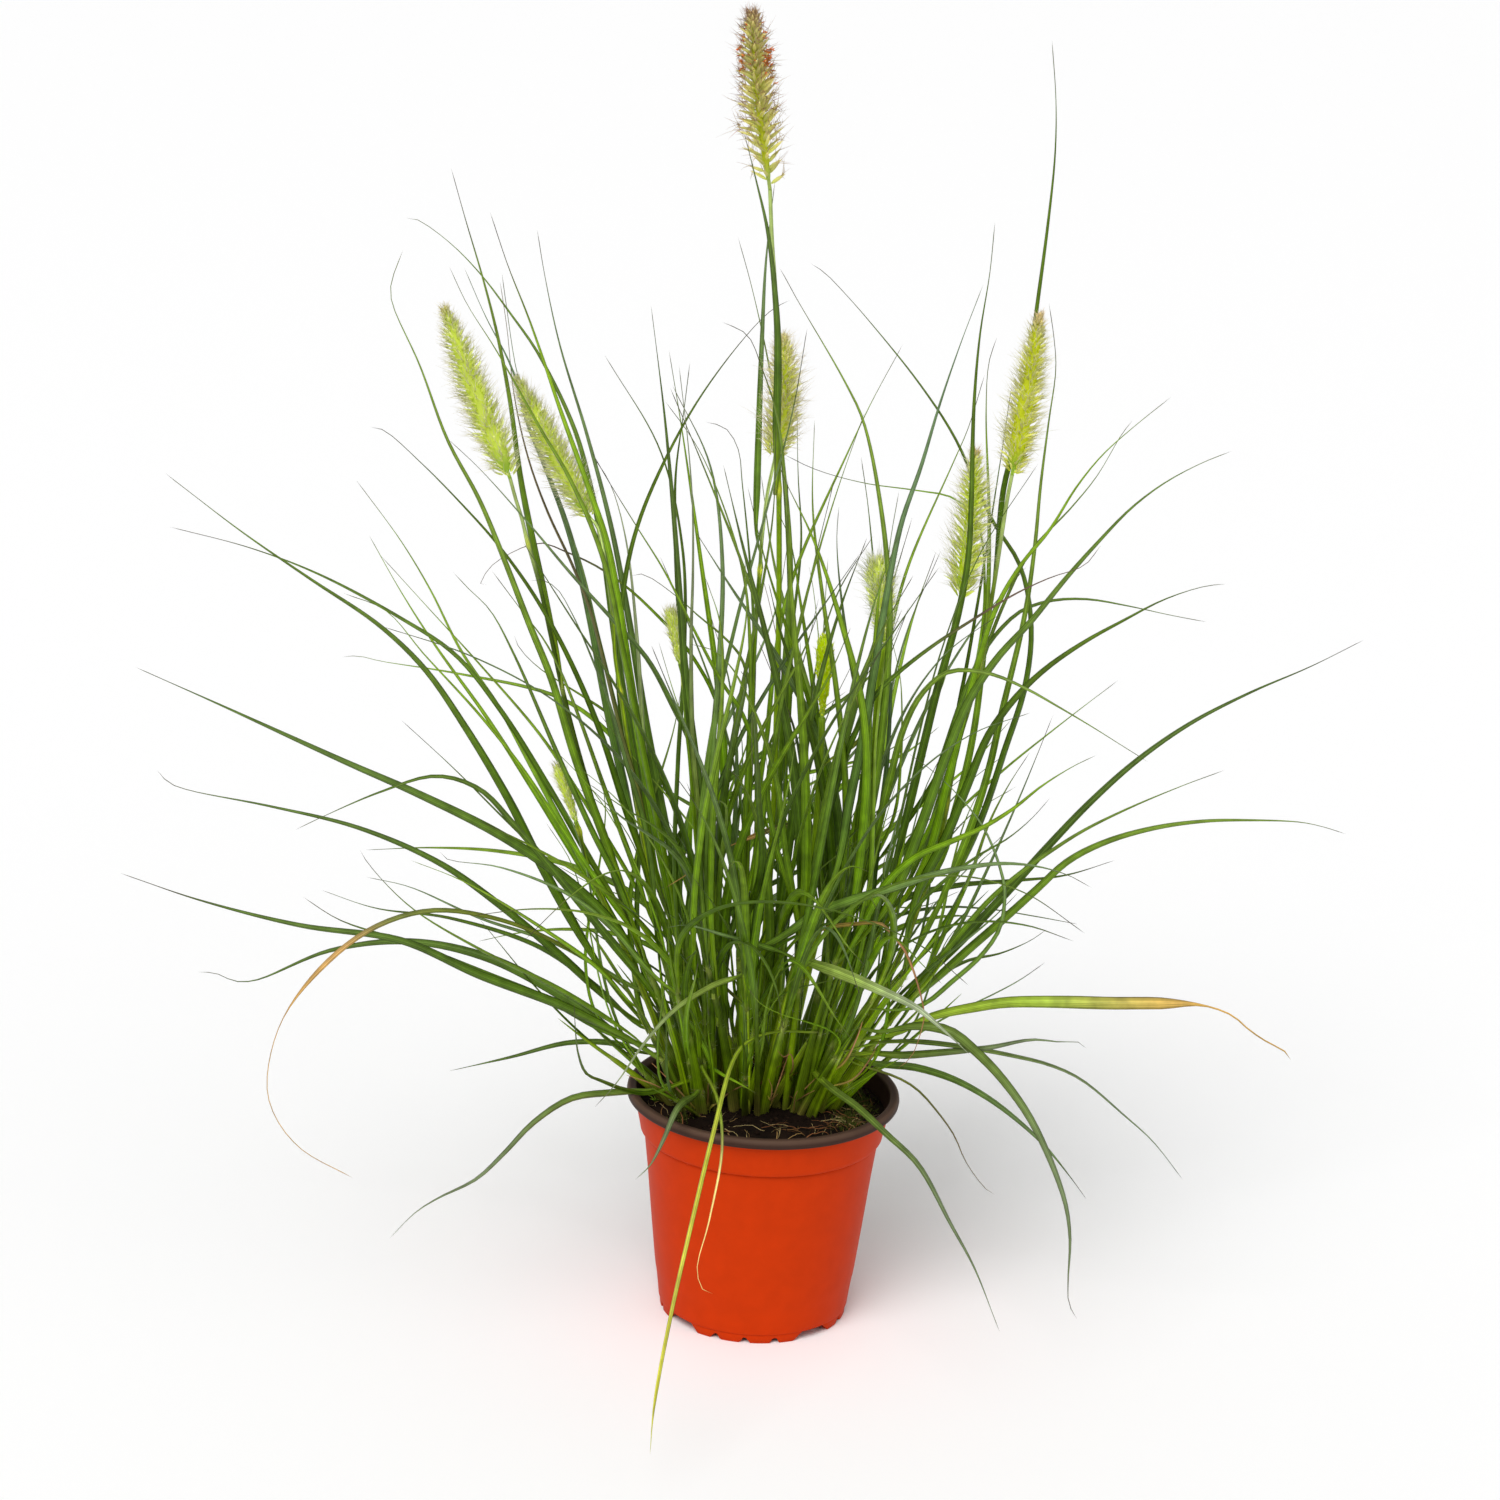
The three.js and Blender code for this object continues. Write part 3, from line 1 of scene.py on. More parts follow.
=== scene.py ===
"""A fountain grass in a plastic nursery pot: its looks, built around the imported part.

The stems and blades are laid again by the rules of the part's own source, and each blade is found by its tip
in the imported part, so that every fine piece keeps the form and place of the node that it replaces. Lengths
are millimetres in the part's frame until a mesh is made, and the pixels are those of a 1500 by 1500 picture.
"""

import math

import bmesh
import bpy
import numpy as np
from mathutils import Matrix, Vector, kdtree, noise


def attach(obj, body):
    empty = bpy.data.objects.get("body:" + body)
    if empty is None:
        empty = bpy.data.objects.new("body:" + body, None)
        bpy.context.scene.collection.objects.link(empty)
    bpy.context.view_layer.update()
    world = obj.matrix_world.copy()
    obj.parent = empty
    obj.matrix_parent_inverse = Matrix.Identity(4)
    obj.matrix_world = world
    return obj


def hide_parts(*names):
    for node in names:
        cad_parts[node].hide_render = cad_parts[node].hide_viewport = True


MM = 0.001
TINY = 1e-9

# Camera: where the picture was taken from
EYE = np.array([0.0, -2400.0, 1150.0])
TO_EYE = EYE / np.linalg.norm(EYE)
EYE_FOCAL = 4160.0
PICTURE_SIDE = 1500.0
EYE_PITCH = math.radians(18.05)
EYE_ROLL = math.radians(2.85)
EYE_YAW = math.radians(-0.45)
SENSOR_WIDTH = 36.0

# Floor and light: each sun's name, the direction it shines from, its angle across and its strength
FLOOR_HALF = 400.0
ROOM_LIGHT = 0.42
SUNS = (("key", (-0.4, -1.0, 1.25), 35, 2.2), ("fill", (1.0, -0.9, 1.2), 60, 0.45))

# Pot
RIM_RADIUS = 85.0
RIM_TOP = 148.0
COLLAR_TOP = 141.0
CREASE = 121.0
FOOT_RADIUS = 58.6
FOOT_WIDTH = 3.4
FOOT_HEIGHT = 6.0
WALL = 1.2
POT_SIDES = 240
FOOT_GAPS = 4
GAP_HALF_TURN = math.radians(8.5)
GAP_SLOPE_TURN = math.radians(5.5)
GAP_HEIGHT = 5.2
NOTCHES_A_LOBE = 3
NOTCH_STEP = math.radians(18.5)
NOTCH_HALF_TURN = math.radians(1.2)
NOTCH_SLOPE_TURN = math.radians(1.8)
NOTCH_HEIGHT = 3.4
FOOT_TURN = math.radians(-3.5)

# Soil
SOIL_CROWN = 139.0
SOIL_DROP = 5.0
SOIL_RADIUS = 76.6
SOIL_FLAT = 61.0
SOIL_MARGIN = 4.0
SOIL_SIDES = 220
SOIL_RINGS = 64
LUMP_HEIGHT = 1.7
LUMPS_PER_MM = 0.09
CRUMBS = 650
CRUMB_REACH = 74.0
CRUMB_SIZES = (0.5, 1.1)

# What lies and grows on the soil
LITTER_REACH = 75.0
LITTER_STRAWS = 150
STRAW_STEPS = 9
STRAW_PLACES = (44, 73)
STRAW_LENGTHS = (6, 24)
STRAW_RADII = (0.12, 0.34)
DRY_SHEATHS = 45
DRY_LENGTHS = (12, 50)
DRY_WIDTHS = (1.2, 3.2)
WEED_LEAVES = 9
WEED_LENGTHS = (4, 9)
WEED_WIDTH = 2.2
WEED_PIXEL = (657, 1099)

# Patches of moss: the middle across and back, how wide, and how many leaves
MOSS_PATCHES = ((58, 4, 11, 900), (54, -28, 9, 520), (-62, 20, 8, 300), (-50, -38, 6, 160))
MOSS_LENGTHS = (1.2, 3.2)
MOSS_RADIUS = 0.35

# Seeds of the random draws. The first is the part's own
SEED = 17
STEM_SEEDS = 1000
HEAD_SEEDS = 2000
SOIL_SEED = 5
DRY_SEED = 7
STRAW_SEED = 9
MOSS_SEED = 11
SMALL_SEED = 13

# Stems and their places, as in the part. A bunch is its middle across and back, and how many stems it has
HOLE_DEPTH = 6.0
STEM_SPACING = 4.1
GOLDEN_ANGLE = math.pi * (3 - math.sqrt(5))
CLUMP_MIDDLE = (-9.0, 8.0)
LEAN_PER_MM = 0.0092
BUNCH_LEAN_PER_MM = 0.012
SHEATH_STEPS = 3
SHEATH_TRIES = 60
SHEATH_NUDGE = 0.025
SHEATH_SHORTEST = 75.0
SHEATH_SPREAD = 85.0
STEM_FOOT_RADIUS = 2.4
SHEATH_TOP_RADIUS = 1.5
BUNCHES = [(-42, -12, 12), (-6, -10, 10), (28, -8, 12), (-26, 25, 6), (14, 29, 6)]

# Blades, as in the part
BLADES_A_SHOOT = 5
LOWEST_ROOT = 0.2
HIGHEST_ROOT = 0.93
ROOT_PLACES = 32
COURSE_STEPS = 48
FINEST_TOLERANCE = 2.5
COARSER = 1.2
BLADE_STEPS = 7
ROOT_SHIFTS = (0, 0.06, -0.06, 0.12, -0.12)
DEPTH_SHIFT = 8.0
DEPTH_TRIES = 24
DRAWN_ROLL = 1.2
DRAWN_TWIST = 1.6

# Blades laid by rule, as in the part: a least value and what a draw adds to it
BLADE_DRAWS = 30
TURN_SHIFTS = (0, 0.07, -0.07, 0.14, -0.14)
FALL_DEGREES = (12, 72)
SIZES = (0.62, 0.36)
ASIDE_SPREAD = 1.7
ASIDE_PER_MM = 0.012
BLADE_REACH = 330.0
BLADE_RISE = 430.0
LOWEST_FRONT_TIP = 250.0
LOWEST_BACK_TIP = 150.0
LOWEST_OTHER_ROOT = 0.45
OTHER_WIDTHS = (3.4, 2.6)
OTHER_ROLL = 0.9
OTHER_TWIST = 1.8
ROOT_PULL = 0.42
TIP_PULL = 0.36
ARCH_POINTS = 7
TIP_TOLERANCE = 0.3

# Fine shape of the blades
SEGMENT_LENGTH = 7.0
FEWEST_SEGMENTS = 20
MOST_SEGMENTS = 64
FULLER_DRAWN = 1.34
FULLER_OTHER = 1.5
FINEST_HALF_WIDTH = 0.3
NARROW_BLADE = 3.2
SMOOTHING = 9
EDGE_THICKNESS = 0.07
BODY_THICKNESS = 0.13
RIB_THICKNESS = 0.1
RIB_WIDTH = 0.16
UPPER_BULGE = 0.6
CLASP_GAP = 0.2
CLASP_TURN = 1.7
UPPER_SHADE = 0.92
LOWER_SHADE = 1.08
RIB_SHADE = 1.5

# Fine shape of the stems. A culm wider than a stalk at its top is still in its sheath
STEM_SIDES = 10
SHOOT_STEPS = 28
CULM_STEPS = 90
SHOOT_RADII = (1.35, 0.95)
SHOOT_LAYER = 0.24
CULM_LAYER = 0.2
SPEAR_LENGTHS = (26, 44)
SPEAR_RADIUS = 0.08
WIDEST_STALK = 1.2
# A stem's seam: a bright line as painted highlight, a dark line beside it and a darker line opposite as
# painted shade
SEAM_PAINTED_LIGHT_AND_SHADE = (1.7, 0.55, 0.7)
COLLAR_HAIRS = 6
COLLAR_HAIR_LENGTHS = (1.5, 4)
COLLAR_HAIR_RADIUS = 0.08

# Young side shoots at the feet of the stems
SIDE_SHOOTS = 1
SIDE_PLACES = (2.4, 4.6)
SIDE_LENGTHS = (34, 120)
SIDE_WIDTHS = (3.4, 5.6)

# Flower heads
HEAD_STEPS = 80
USUAL_HEAD_RADIUS = 11.5
STEEPEST_HUSK = math.radians(86)

# Sections of pointed bodies: places along them, and how thick they are there
BRISTLE = ((0, 1.0), (0.35, 0.8), (0.7, 0.5))
HUSK = ((0, 0.35), (0.2, 0.9), (0.45, 1.0), (0.75, 0.6))
HAIR = ((0, 1.0), (0.5, 0.7))

# A direction that no spike takes, to set out its sides by
ASKEW = np.array([0.31, 0.57, 0.22])

# Flowering culms: the head from its tip to its base, then the stem from under the head to the soil
CULMS = [
    {
        "bunch": 1, "depth": 0, "top": 1.15, "radius": 13.5,
        "knot": (779, 500),
        "head": [(752, 12), (758, 100), (770, 190)],
        "stem": [(772, 240), (776, 300), (778, 400), (779, 500), (779, 600), (777, 700), (774, 800),
            (768, 900), (760, 1000)],
    },
    {
        "bunch": 0, "depth": -20, "top": 1.1, "radius": 11.5,
        "knot": (528, 542),
        "head": [(443, 305), (478, 400), (510, 478)],
        "stem": [(516, 500), (522, 519), (527, 540), (539, 583), (552, 642), (562, 688), (575, 740),
            (592, 800), (612, 870), (636, 940), (660, 1010)],
    },
    {
        "bunch": 0, "depth": 20, "top": 1.05, "radius": 9.5,
        "knot": (620, 689),
        "head": [(515, 375), (553, 450), (590, 518)],
        "stem": [(597, 526), (602, 545), (608, 580), (613, 617), (615, 655), (620, 689), (629, 752),
            (640, 820), (652, 890), (665, 960), (678, 1020)],
    },
    {
        "bunch": 1, "depth": 15, "top": 1.0, "radius": 11.5,
        "knot": (760, 570),
        "head": [(783, 335), (784, 395), (775, 458)],
        "stem": [(768, 490), (764, 520), (761, 550), (760, 570), (757, 605), (753, 676), (751, 752),
            (748, 830), (746, 900), (744, 980)],
    },
    {
        "bunch": 2, "depth": 0, "top": 1.15, "radius": 11.5,
        "knot": (945, 810),
        "head": [(1040, 312), (1028, 390), (1012, 475)],
        "stem": [(1008, 495), (1002, 533), (997, 566), (990, 610), (983, 655), (971, 700), (958, 744),
            (950, 784), (938, 850), (920, 902), (900, 955), (872, 1010)],
    },
    {
        "bunch": 2, "depth": -10, "top": 1.1, "radius": 12.5,
        "head": [(975, 450), (970, 525), (960, 600)],
        "stem": [(956, 612), (952, 634), (944, 676), (935, 701), (923, 743), (912, 790), (905, 830),
            (895, 880), (880, 930), (860, 985)],
    },
    {
        "bunch": 2, "depth": -25, "top": 2.0, "radius": 10.5,
        "head": [(876, 553), (881, 595), (885, 645)],
        "stem": [(883, 655), (881, 667), (878, 693), (876, 718), (874, 752), (868, 800), (862, 850),
            (852, 910), (840, 965)],
    },
    {
        "bunch": 1, "depth": -35, "top": 2.1, "radius": 4.5,
        "head": [(825, 632), (824, 675), (822, 718)],
        "stem": [(821, 750), (818, 800), (813, 860), (806, 920), (798, 980)],
    },
    {
        "bunch": 0, "depth": -30, "top": 1.3, "radius": 5.5,
        "knot": (683, 680),
        "head": [(669, 600), (674, 632), (680, 664)],
        "stem": [(683, 676), (685, 700), (687, 730), (690, 757), (694, 810), (699, 870), (704, 930),
            (709, 990)],
    },
    {
        "bunch": 0, "depth": -55, "top": 1.4, "radius": 5,
        "knot": (579, 831),
        "head": [(553, 755), (564, 785), (576, 822)],
        "stem": [(579, 831), (587, 864), (602, 898), (616, 930), (634, 970), (655, 1022)],
    },
]

# Blades: the tip's depth behind the pot's axis, the widest place, and the route in pixels from its tip
# to its root, then its look if that isn't plain. A third number at a point is the depth there.
DRAWN_BLADES = [
    # On the culms
    (-30, 4.6, [(451, 168), (466, 222), (482, 277), (496, 332), (509, 400), (521, 486), (527, 540)]),
    (-45, 4.6, [(744, 132), (756, 180), (768, 233), (777, 320), (778, 374), (777, 422), (779, 500)], "deep"),
    (60, 4, [(775, 180), (766, 260), (762, 337), (759, 422), (757, 519), (760, 570)]),
    (45, 3.4, [(1052, 40), (1056, 102), (1055, 155), (1048, 223), (1038, 298), (1028, 370), (1015, 440),
      (1003, 490), (996, 560), (983, 655)]),
    (-55, 5, [(886, 560), (881, 580), (877, 617), (874, 660), (868, 710), (864, 790)], "bright"),
    # Straight to the front and to the back
    (-335, 5, [(752, 770), (752, 722), (753, 712), (755, 735), (758, 800), (760, 870), (760, 930)]),
    (335, 5, [(800, 640), (803, 690), (806, 760), (806, 830), (803, 900)]),
    # High on the left
    (150, 5.5, [(406, 218), (416, 219), (448, 241), (480, 273), (512, 315), (539, 354), (575, 429),
      (591, 486), (603, 545), (613, 617), (625, 700), (643, 790), (660, 880), (676, 960)]),
    (-60, 5.5, [(490, 212), (508, 266), (530, 322), (562, 415), (590, 492), (606, 540), (618, 600),
      (630, 680), (645, 770), (662, 860), (680, 950)]),
    (110, 5, [(537, 229), (544, 272), (559, 343), (587, 436), (611, 528), (632, 640), (645, 720),
      (660, 800), (675, 880), (690, 960)]),
    (-120, 5, [(403, 250), (391, 285), (392, 302), (420, 365), (448, 440), (480, 500), (507, 565),
      (529, 622), (552, 679), (574, 752), (602, 830), (632, 905), (660, 970)]),
    (-90, 5, [(449, 266), (467, 304), (496, 350), (544, 435), (564, 468), (589, 521), (606, 570),
      (620, 640), (636, 720), (652, 800), (668, 880), (682, 950)]),
    (60, 6, [(464, 267), (485, 315), (512, 368), (528, 424), (546, 468), (566, 521), (579, 566),
      (594, 634), (605, 692), (622, 770), (643, 850), (662, 920)], "blue"),
    (130, 3, [(500, 281), (507, 329), (514, 395), (528, 458), (547, 511), (572, 565), (589, 608),
      (603, 660), (620, 730), (642, 810), (664, 890)], "brown"),
    (20, 2.5, [(502, 273), (506, 302), (517, 372), (534, 430), (556, 495), (580, 560), (600, 640),
      (620, 720), (645, 810), (668, 890)]),
    # Middle of the left side
    (-30, 4, [(370, 427), (383, 430), (420, 462), (465, 508), (497, 544), (529, 588), (554, 630),
      (579, 681), (601, 735), (622, 800), (645, 870), (668, 935)]),
    (-60, 4.5, [(447, 438), (480, 469), (527, 521), (571, 573), (611, 617), (648, 659), (675, 709),
      (690, 740), (703, 790), (716, 850), (727, 910)]),
    (-30, 6, [(165, 473), (240, 530), (310, 578), (380, 625), (425, 668), (465, 725), (510, 800),
      (545, 870), (585, 940), (622, 995), (652, 1035)]),
    (120, 4, [(356, 480), (400, 540), (430, 590), (460, 650), (500, 710), (530, 765), (565, 830),
      (600, 895), (635, 955), (660, 1000)]),
    (40, 4, [(170, 527), (250, 548), (320, 575), (400, 618), (455, 655), (500, 710), (550, 790),
      (590, 860), (625, 920), (655, 975)]),
    (-150, 3, [(343, 593), (385, 610), (425, 655), (480, 715), (520, 765), (560, 825), (600, 885),
      (640, 945), (665, 985)]),
    (170, 3.5, [(369, 535), (400, 590), (435, 645), (485, 715), (530, 785), (570, 850), (610, 915),
      (645, 970)]),
    (60, 3, [(380, 555), (430, 610), (480, 665), (540, 735), (580, 795), (620, 860), (655, 920),
      (680, 965)]),
    (100, 4, [(342, 657), (358, 656), (380, 661), (460, 674), (555, 696), (600, 725), (640, 775),
      (672, 840), (695, 905), (712, 960)]),
    (-100, 6, [(135, 667), (220, 705), (345, 762), (420, 795), (500, 835), (560, 875), (610, 920),
      (645, 965), (668, 1005)], "deep"),
    (-20, 4.5, [(157, 770), (168, 782), (185, 789), (270, 806), (360, 828), (440, 863), (500, 905),
      (560, 955), (610, 1000), (650, 1045)], "deep"),
    (-160, 5, [(295, 830), (322, 817), (380, 792), (435, 776), (478, 788), (515, 825), (570, 890),
      (615, 945), (650, 990), (672, 1022)]),
    (150, 2.5, [(401, 720), (450, 765), (500, 815), (550, 865), (600, 925), (640, 975), (662, 1010)]),
    (-80, 4, [(453, 572), (468, 588), (490, 610), (514, 654), (557, 752), (590, 825), (622, 890),
      (650, 950)]),
    (60, 3, [(487, 585), (480, 587), (487, 571), (502, 558), (540, 543), (564, 551), (598, 567),
      (628, 588), (655, 613), (682, 642), (700, 668), (714, 695), (726, 740), (741, 870)], "brown tip"),
    (100, 4, [(514, 635), (519, 647), (537, 666), (564, 684), (588, 699), (615, 718), (642, 747),
      (668, 790), (690, 850), (706, 910)]),
    (-110, 3.5, [(530, 581), (539, 579), (556, 588), (571, 612), (591, 657), (608, 701), (625, 760),
      (645, 830), (665, 900)]),
    (-20, 3, [(492, 571), (525, 615), (544, 640), (560, 670), (580, 720), (605, 790), (635, 870),
      (660, 940)]),
    (-140, 3.5, [(440, 852), (447, 859), (500, 867), (565, 892), (610, 925), (645, 965),
      (670, 1000)]),
    # Low on the left
    (-150, 5.5, [(120, 873), (200, 900), (300, 925), (400, 940), (480, 975), (560, 1005), (620, 1035),
      (655, 1062)], "deep"),
    (90, 6, [(198, 972), (215, 973), (235, 981), (255, 980), (330, 950), (410, 941), (490, 958),
      (570, 1000), (630, 1040), (662, 1070)], "deep"),
    (-90, 4, [(303, 897), (340, 920), (410, 943), (490, 975), (550, 1000), (605, 1030), (645, 1058)]),
    (160, 4, [(321, 890), (375, 908), (450, 918), (540, 947), (595, 985), (640, 1025), (668, 1050)]),
    (-190, 2.7, [(353, 1178), (300, 1148), (275, 1116), (267, 1085), (280, 1025), (315, 975),
      (370, 930), (430, 911), (500, 920), (570, 950), (625, 990), (660, 1030)], "tan"),
    (90, 3, [(366, 877), (410, 887), (480, 918), (560, 945), (630, 985), (665, 1015)]),
    (-30, 3.5, [(360, 850), (367, 862), (410, 907), (480, 950), (560, 990), (620, 1028),
      (655, 1060)]),
    (-120, 3, [(410, 860), (465, 882), (545, 930), (600, 970), (645, 1015)]),
    (30, 4, [(449, 1071), (510, 1057), (570, 1042), (617, 1043), (645, 1052), (668, 1066)], "deep"),
    (-60, 3.5, [(574, 1003), (576, 1033), (579, 1054), (587, 1073), (602, 1080), (623, 1088),
      (650, 1092), (674, 1090)]),
    (-110, 5, [(389, 1239), (415, 1213), (437, 1199), (477, 1179), (505, 1153), (534, 1123),
      (572, 1099), (617, 1093), (659, 1088), (678, 1082)], "dusty"),
    # Hanging in front of the pot
    (-120, 5, [(635, 1180), (650, 1165), (663, 1140), (676, 1110, -80), (692, 1095)], "dusty"),
    (-150, 4.5, [(594, 1108), (617, 1083), (644, 1045), (676, 1010), (712, 987), (745, 972),
      (760, 968)], "pale"),
    (-235, 2.9, [(650, 1455), (654, 1399, -212), (670, 1314, -180), (695, 1205, -145),
      (714, 1127, -112), (730, 1067, -84), (742, 1046, -68), (766, 1034, -50), (808, 1040)], "yellow"),
    (-124, 2.2, [(713, 1294), (704, 1291, -123), (697, 1271, -121), (709, 1221, -116),
      (722, 1148, -100), (717, 1099, -78), (703, 1070, -52), (690, 1062)], "fading"),
    (-100, 3.5, [(665, 928), (686, 925), (728, 936), (770, 948), (788, 955)]),
    (-60, 3, [(665, 888), (686, 875), (716, 853), (749, 838), (787, 825), (808, 826), (818, 850),
      (822, 890)], "tan"),
    (-60, 3, [(757, 1094), (739, 1083), (724, 1075), (707, 1065), (690, 1062)]),
    # In the middle
    (-40, 6, [(651, 305), (664, 410), (670, 471), (675, 531), (680, 600), (686, 684), (694, 751),
      (703, 830), (712, 900), (720, 960)], "deep"),
    (70, 5, [(669, 350), (684, 441), (702, 566), (719, 693), (728, 830), (735, 960)]),
    (-90, 5, [(679, 366), (688, 446), (692, 507), (692, 575), (690, 640), (692, 752), (700, 830),
      (708, 910), (715, 970)], "pale"),
    (30, 4, [(690, 362), (684, 410), (676, 471), (675, 519), (677, 580), (683, 660), (690, 740),
      (700, 820), (711, 900)]),
    (60, 4.5, [(790, 300), (772, 310), (747, 335), (700, 398), (664, 463), (638, 526), (625, 583),
      (619, 659), (622, 710), (632, 770), (648, 850), (668, 930)]),
    (-70, 5, [(722, 322), (747, 335), (762, 369), (777, 417), (785, 483), (790, 560), (788, 616),
      (784, 680), (780, 750), (776, 830), (772, 900)]),
    (50, 3, [(705, 422), (725, 428), (738, 449), (742, 483), (750, 567), (754, 650), (752, 720),
      (749, 800), (747, 870)]),
    (-70, 3.5, [(665, 401), (688, 432), (705, 461), (730, 524), (746, 587), (751, 680), (749, 750),
      (747, 820)]),
    (80, 3.5, [(738, 237), (751, 284), (766, 350), (778, 420), (788, 540), (790, 680), (786, 760),
      (780, 850)]),
    (-60, 5, [(779, 267), (785, 277), (797, 299), (846, 383), (864, 422), (882, 512), (890, 600),
      (888, 670), (880, 750), (868, 830), (855, 900), (842, 960)]),
    (90, 4.5, [(810, 263), (824, 272), (841, 289), (872, 324), (921, 385), (955, 437), (993, 520),
      (1021, 566), (1032, 625), (1026, 686), (1005, 752), (985, 812), (960, 870), (925, 930), (890, 980)]),
    (110, 3.5, [(903, 344), (870, 405), (846, 456), (802, 553), (785, 604), (775, 660), (768, 730),
      (762, 800), (757, 870)]),
    (-80, 5.5, [(983, 285), (960, 345), (940, 403), (921, 466), (901, 524), (887, 592), (876, 660),
      (864, 730), (850, 800), (835, 870), (820, 940)], "blue"),
    (-60, 5, [(995, 222), (990, 272), (980, 335), (974, 405), (971, 507), (968, 558), (958, 614),
      (937, 689), (922, 750), (905, 820), (885, 890), (862, 950)]),
    (80, 4.5, [(997, 337), (989, 362), (986, 410), (989, 519), (987, 608), (979, 693), (970, 750),
      (955, 810), (935, 870), (908, 930)]),
    (130, 3.5, [(985, 374), (968, 429), (952, 466), (909, 565), (892, 628), (880, 700), (868, 770),
      (852, 840), (838, 905)]),
    (60, 3, [(1012, 385), (1001, 458), (985, 560), (975, 620), (962, 690), (945, 760), (925, 830)]),
    (50, 3.5, [(783, 454), (814, 469), (863, 483), (918, 491), (952, 498), (976, 520), (984, 590),
      (978, 650), (965, 710), (948, 780), (925, 850)]),
    (20, 3, [(861, 456), (869, 514), (876, 610), (874, 680), (866, 750), (855, 820)]),
    (60, 2.5, [(899, 491), (890, 545), (886, 600), (880, 670), (870, 740)]),
    (-50, 4.5, [(839, 506), (837, 541), (843, 608), (854, 676), (863, 709), (868, 760), (866, 820),
      (858, 880)]),
    (90, 2.5, [(828, 558), (824, 625), (822, 680), (820, 750), (815, 830)]),
    (110, 2.5, [(809, 566), (814, 595), (822, 690), (822, 760), (818, 840)]),
    (-110, 6, [(778, 462), (785, 480), (814, 541), (841, 622), (861, 701), (866, 760), (862, 830),
      (852, 900), (840, 960)]),
    (-30, 4.5, [(776, 508), (790, 540), (800, 600), (809, 659), (819, 735), (822, 790), (820, 860),
      (815, 930)]),
    (140, 3.5, [(797, 403), (798, 474), (801, 541), (793, 620), (786, 680), (780, 750), (775, 830)]),
    (-130, 3.5, [(835, 477), (817, 551), (802, 617), (785, 684), (775, 740), (768, 800), (762, 860)]),
    (90, 4.5, [(592, 455), (610, 483), (626, 538), (638, 642), (645, 750), (655, 820), (668, 890)], "pale"),
    (-100, 4, [(592, 452), (608, 480), (638, 528), (665, 571), (695, 630), (721, 679), (743, 713),
      (755, 750), (762, 810), (764, 880)]),
    (30, 3.5, [(630, 576), (642, 574), (675, 595), (700, 617), (722, 635), (741, 657), (754, 710),
      (757, 770), (757, 840), (755, 910)]),
    (-120, 4, [(689, 644), (712, 650), (731, 667), (752, 707), (766, 743), (778, 790), (785, 850),
      (787, 910)]),
    (80, 2.5, [(762, 575), (771, 610), (782, 670), (785, 720), (784, 790)], "brown tip"),
    (-70, 3, [(758, 640), (775, 681), (793, 726), (803, 780), (806, 850)], "brown tip"),
    (40, 2.5, [(890, 633), (900, 676), (902, 710), (901, 760), (893, 820), (880, 880)]),
    (-40, 4.5, [(893, 580), (890, 642), (891, 700), (888, 760), (880, 830), (868, 900)], "blue"),
    # High on the right
    (-60, 5, [(1171, 397), (1137, 424), (1102, 455), (1076, 487), (1049, 530), (1021, 564),
      (996, 607), (978, 660), (962, 720), (945, 790), (925, 860), (900, 925)]),
    (120, 3.5, [(1133, 420), (1122, 434), (1097, 476), (1071, 508), (1031, 551), (1006, 599),
      (986, 650), (965, 720), (942, 790), (918, 860), (890, 930)]),
    (-90, 6, [(1232, 451), (1200, 464), (1165, 483), (1132, 508), (1097, 544), (1066, 579),
      (1031, 622), (998, 658), (970, 700), (945, 760), (920, 830), (890, 900), (860, 960)]),
    (-20, 4.5, [(1049, 303), (1054, 337), (1056, 369), (1049, 422), (1041, 485), (1035, 548),
      (1025, 616), (1002, 713), (989, 770), (970, 830), (945, 890), (915, 950)]),
    (-130, 4.5, [(1101, 545), (1085, 565), (1050, 578), (1016, 594), (970, 622), (935, 645),
      (900, 672), (878, 693), (855, 735), (839, 780), (825, 840), (812, 900)], "brown tip"),
    (60, 4, [(1207, 622), (1170, 615), (1129, 606), (1086, 599), (1049, 601), (1021, 611), (998, 632),
      (980, 658), (962, 700), (942, 760), (918, 830), (890, 895)]),
    (-50, 5.5, [(1226, 584), (1206, 586), (1165, 599), (1122, 621), (1084, 642), (1045, 669),
      (1016, 697), (989, 734), (968, 784), (945, 840), (918, 895), (888, 950)]),
    # Middle of the right side
    (215, 5.5, [(1364, 640), (1310, 667), (1250, 693), (1190, 724), (1137, 761), (1090, 803),
      (1047, 848), (1013, 886), (968, 934), (926, 978), (890, 1015), (860, 1040)], "deep"),
    (-150, 5, [(1148, 762), (1124, 747), (1092, 727), (1058, 707), (1026, 689), (989, 674),
      (950, 672), (924, 692), (905, 726), (890, 780), (872, 850), (852, 920)]),
    (205, 5, [(1346, 834), (1324, 827), (1300, 822), (1252, 820), (1203, 821), (1153, 828),
      (1105, 842), (1068, 861), (1037, 889), (1005, 918), (966, 952), (926, 989), (890, 1020),
      (858, 1048)]),
    (-60, 3.5, [(1225, 770), (1184, 785), (1131, 807), (1084, 830), (1052, 850), (1021, 872),
      (989, 900), (950, 945), (915, 985), (880, 1020)]),
    (-110, 4.5, [(1097, 755), (1074, 766), (1042, 786), (1013, 809), (982, 828), (950, 842),
      (916, 857), (885, 885), (860, 930), (842, 975)]),
    (-150, 3, [(1050, 798), (1031, 819), (1008, 838), (979, 855), (945, 880), (912, 915),
      (880, 960)]),
    (140, 3, [(1030, 752), (1008, 786), (989, 823), (971, 873), (945, 930), (912, 985)]),
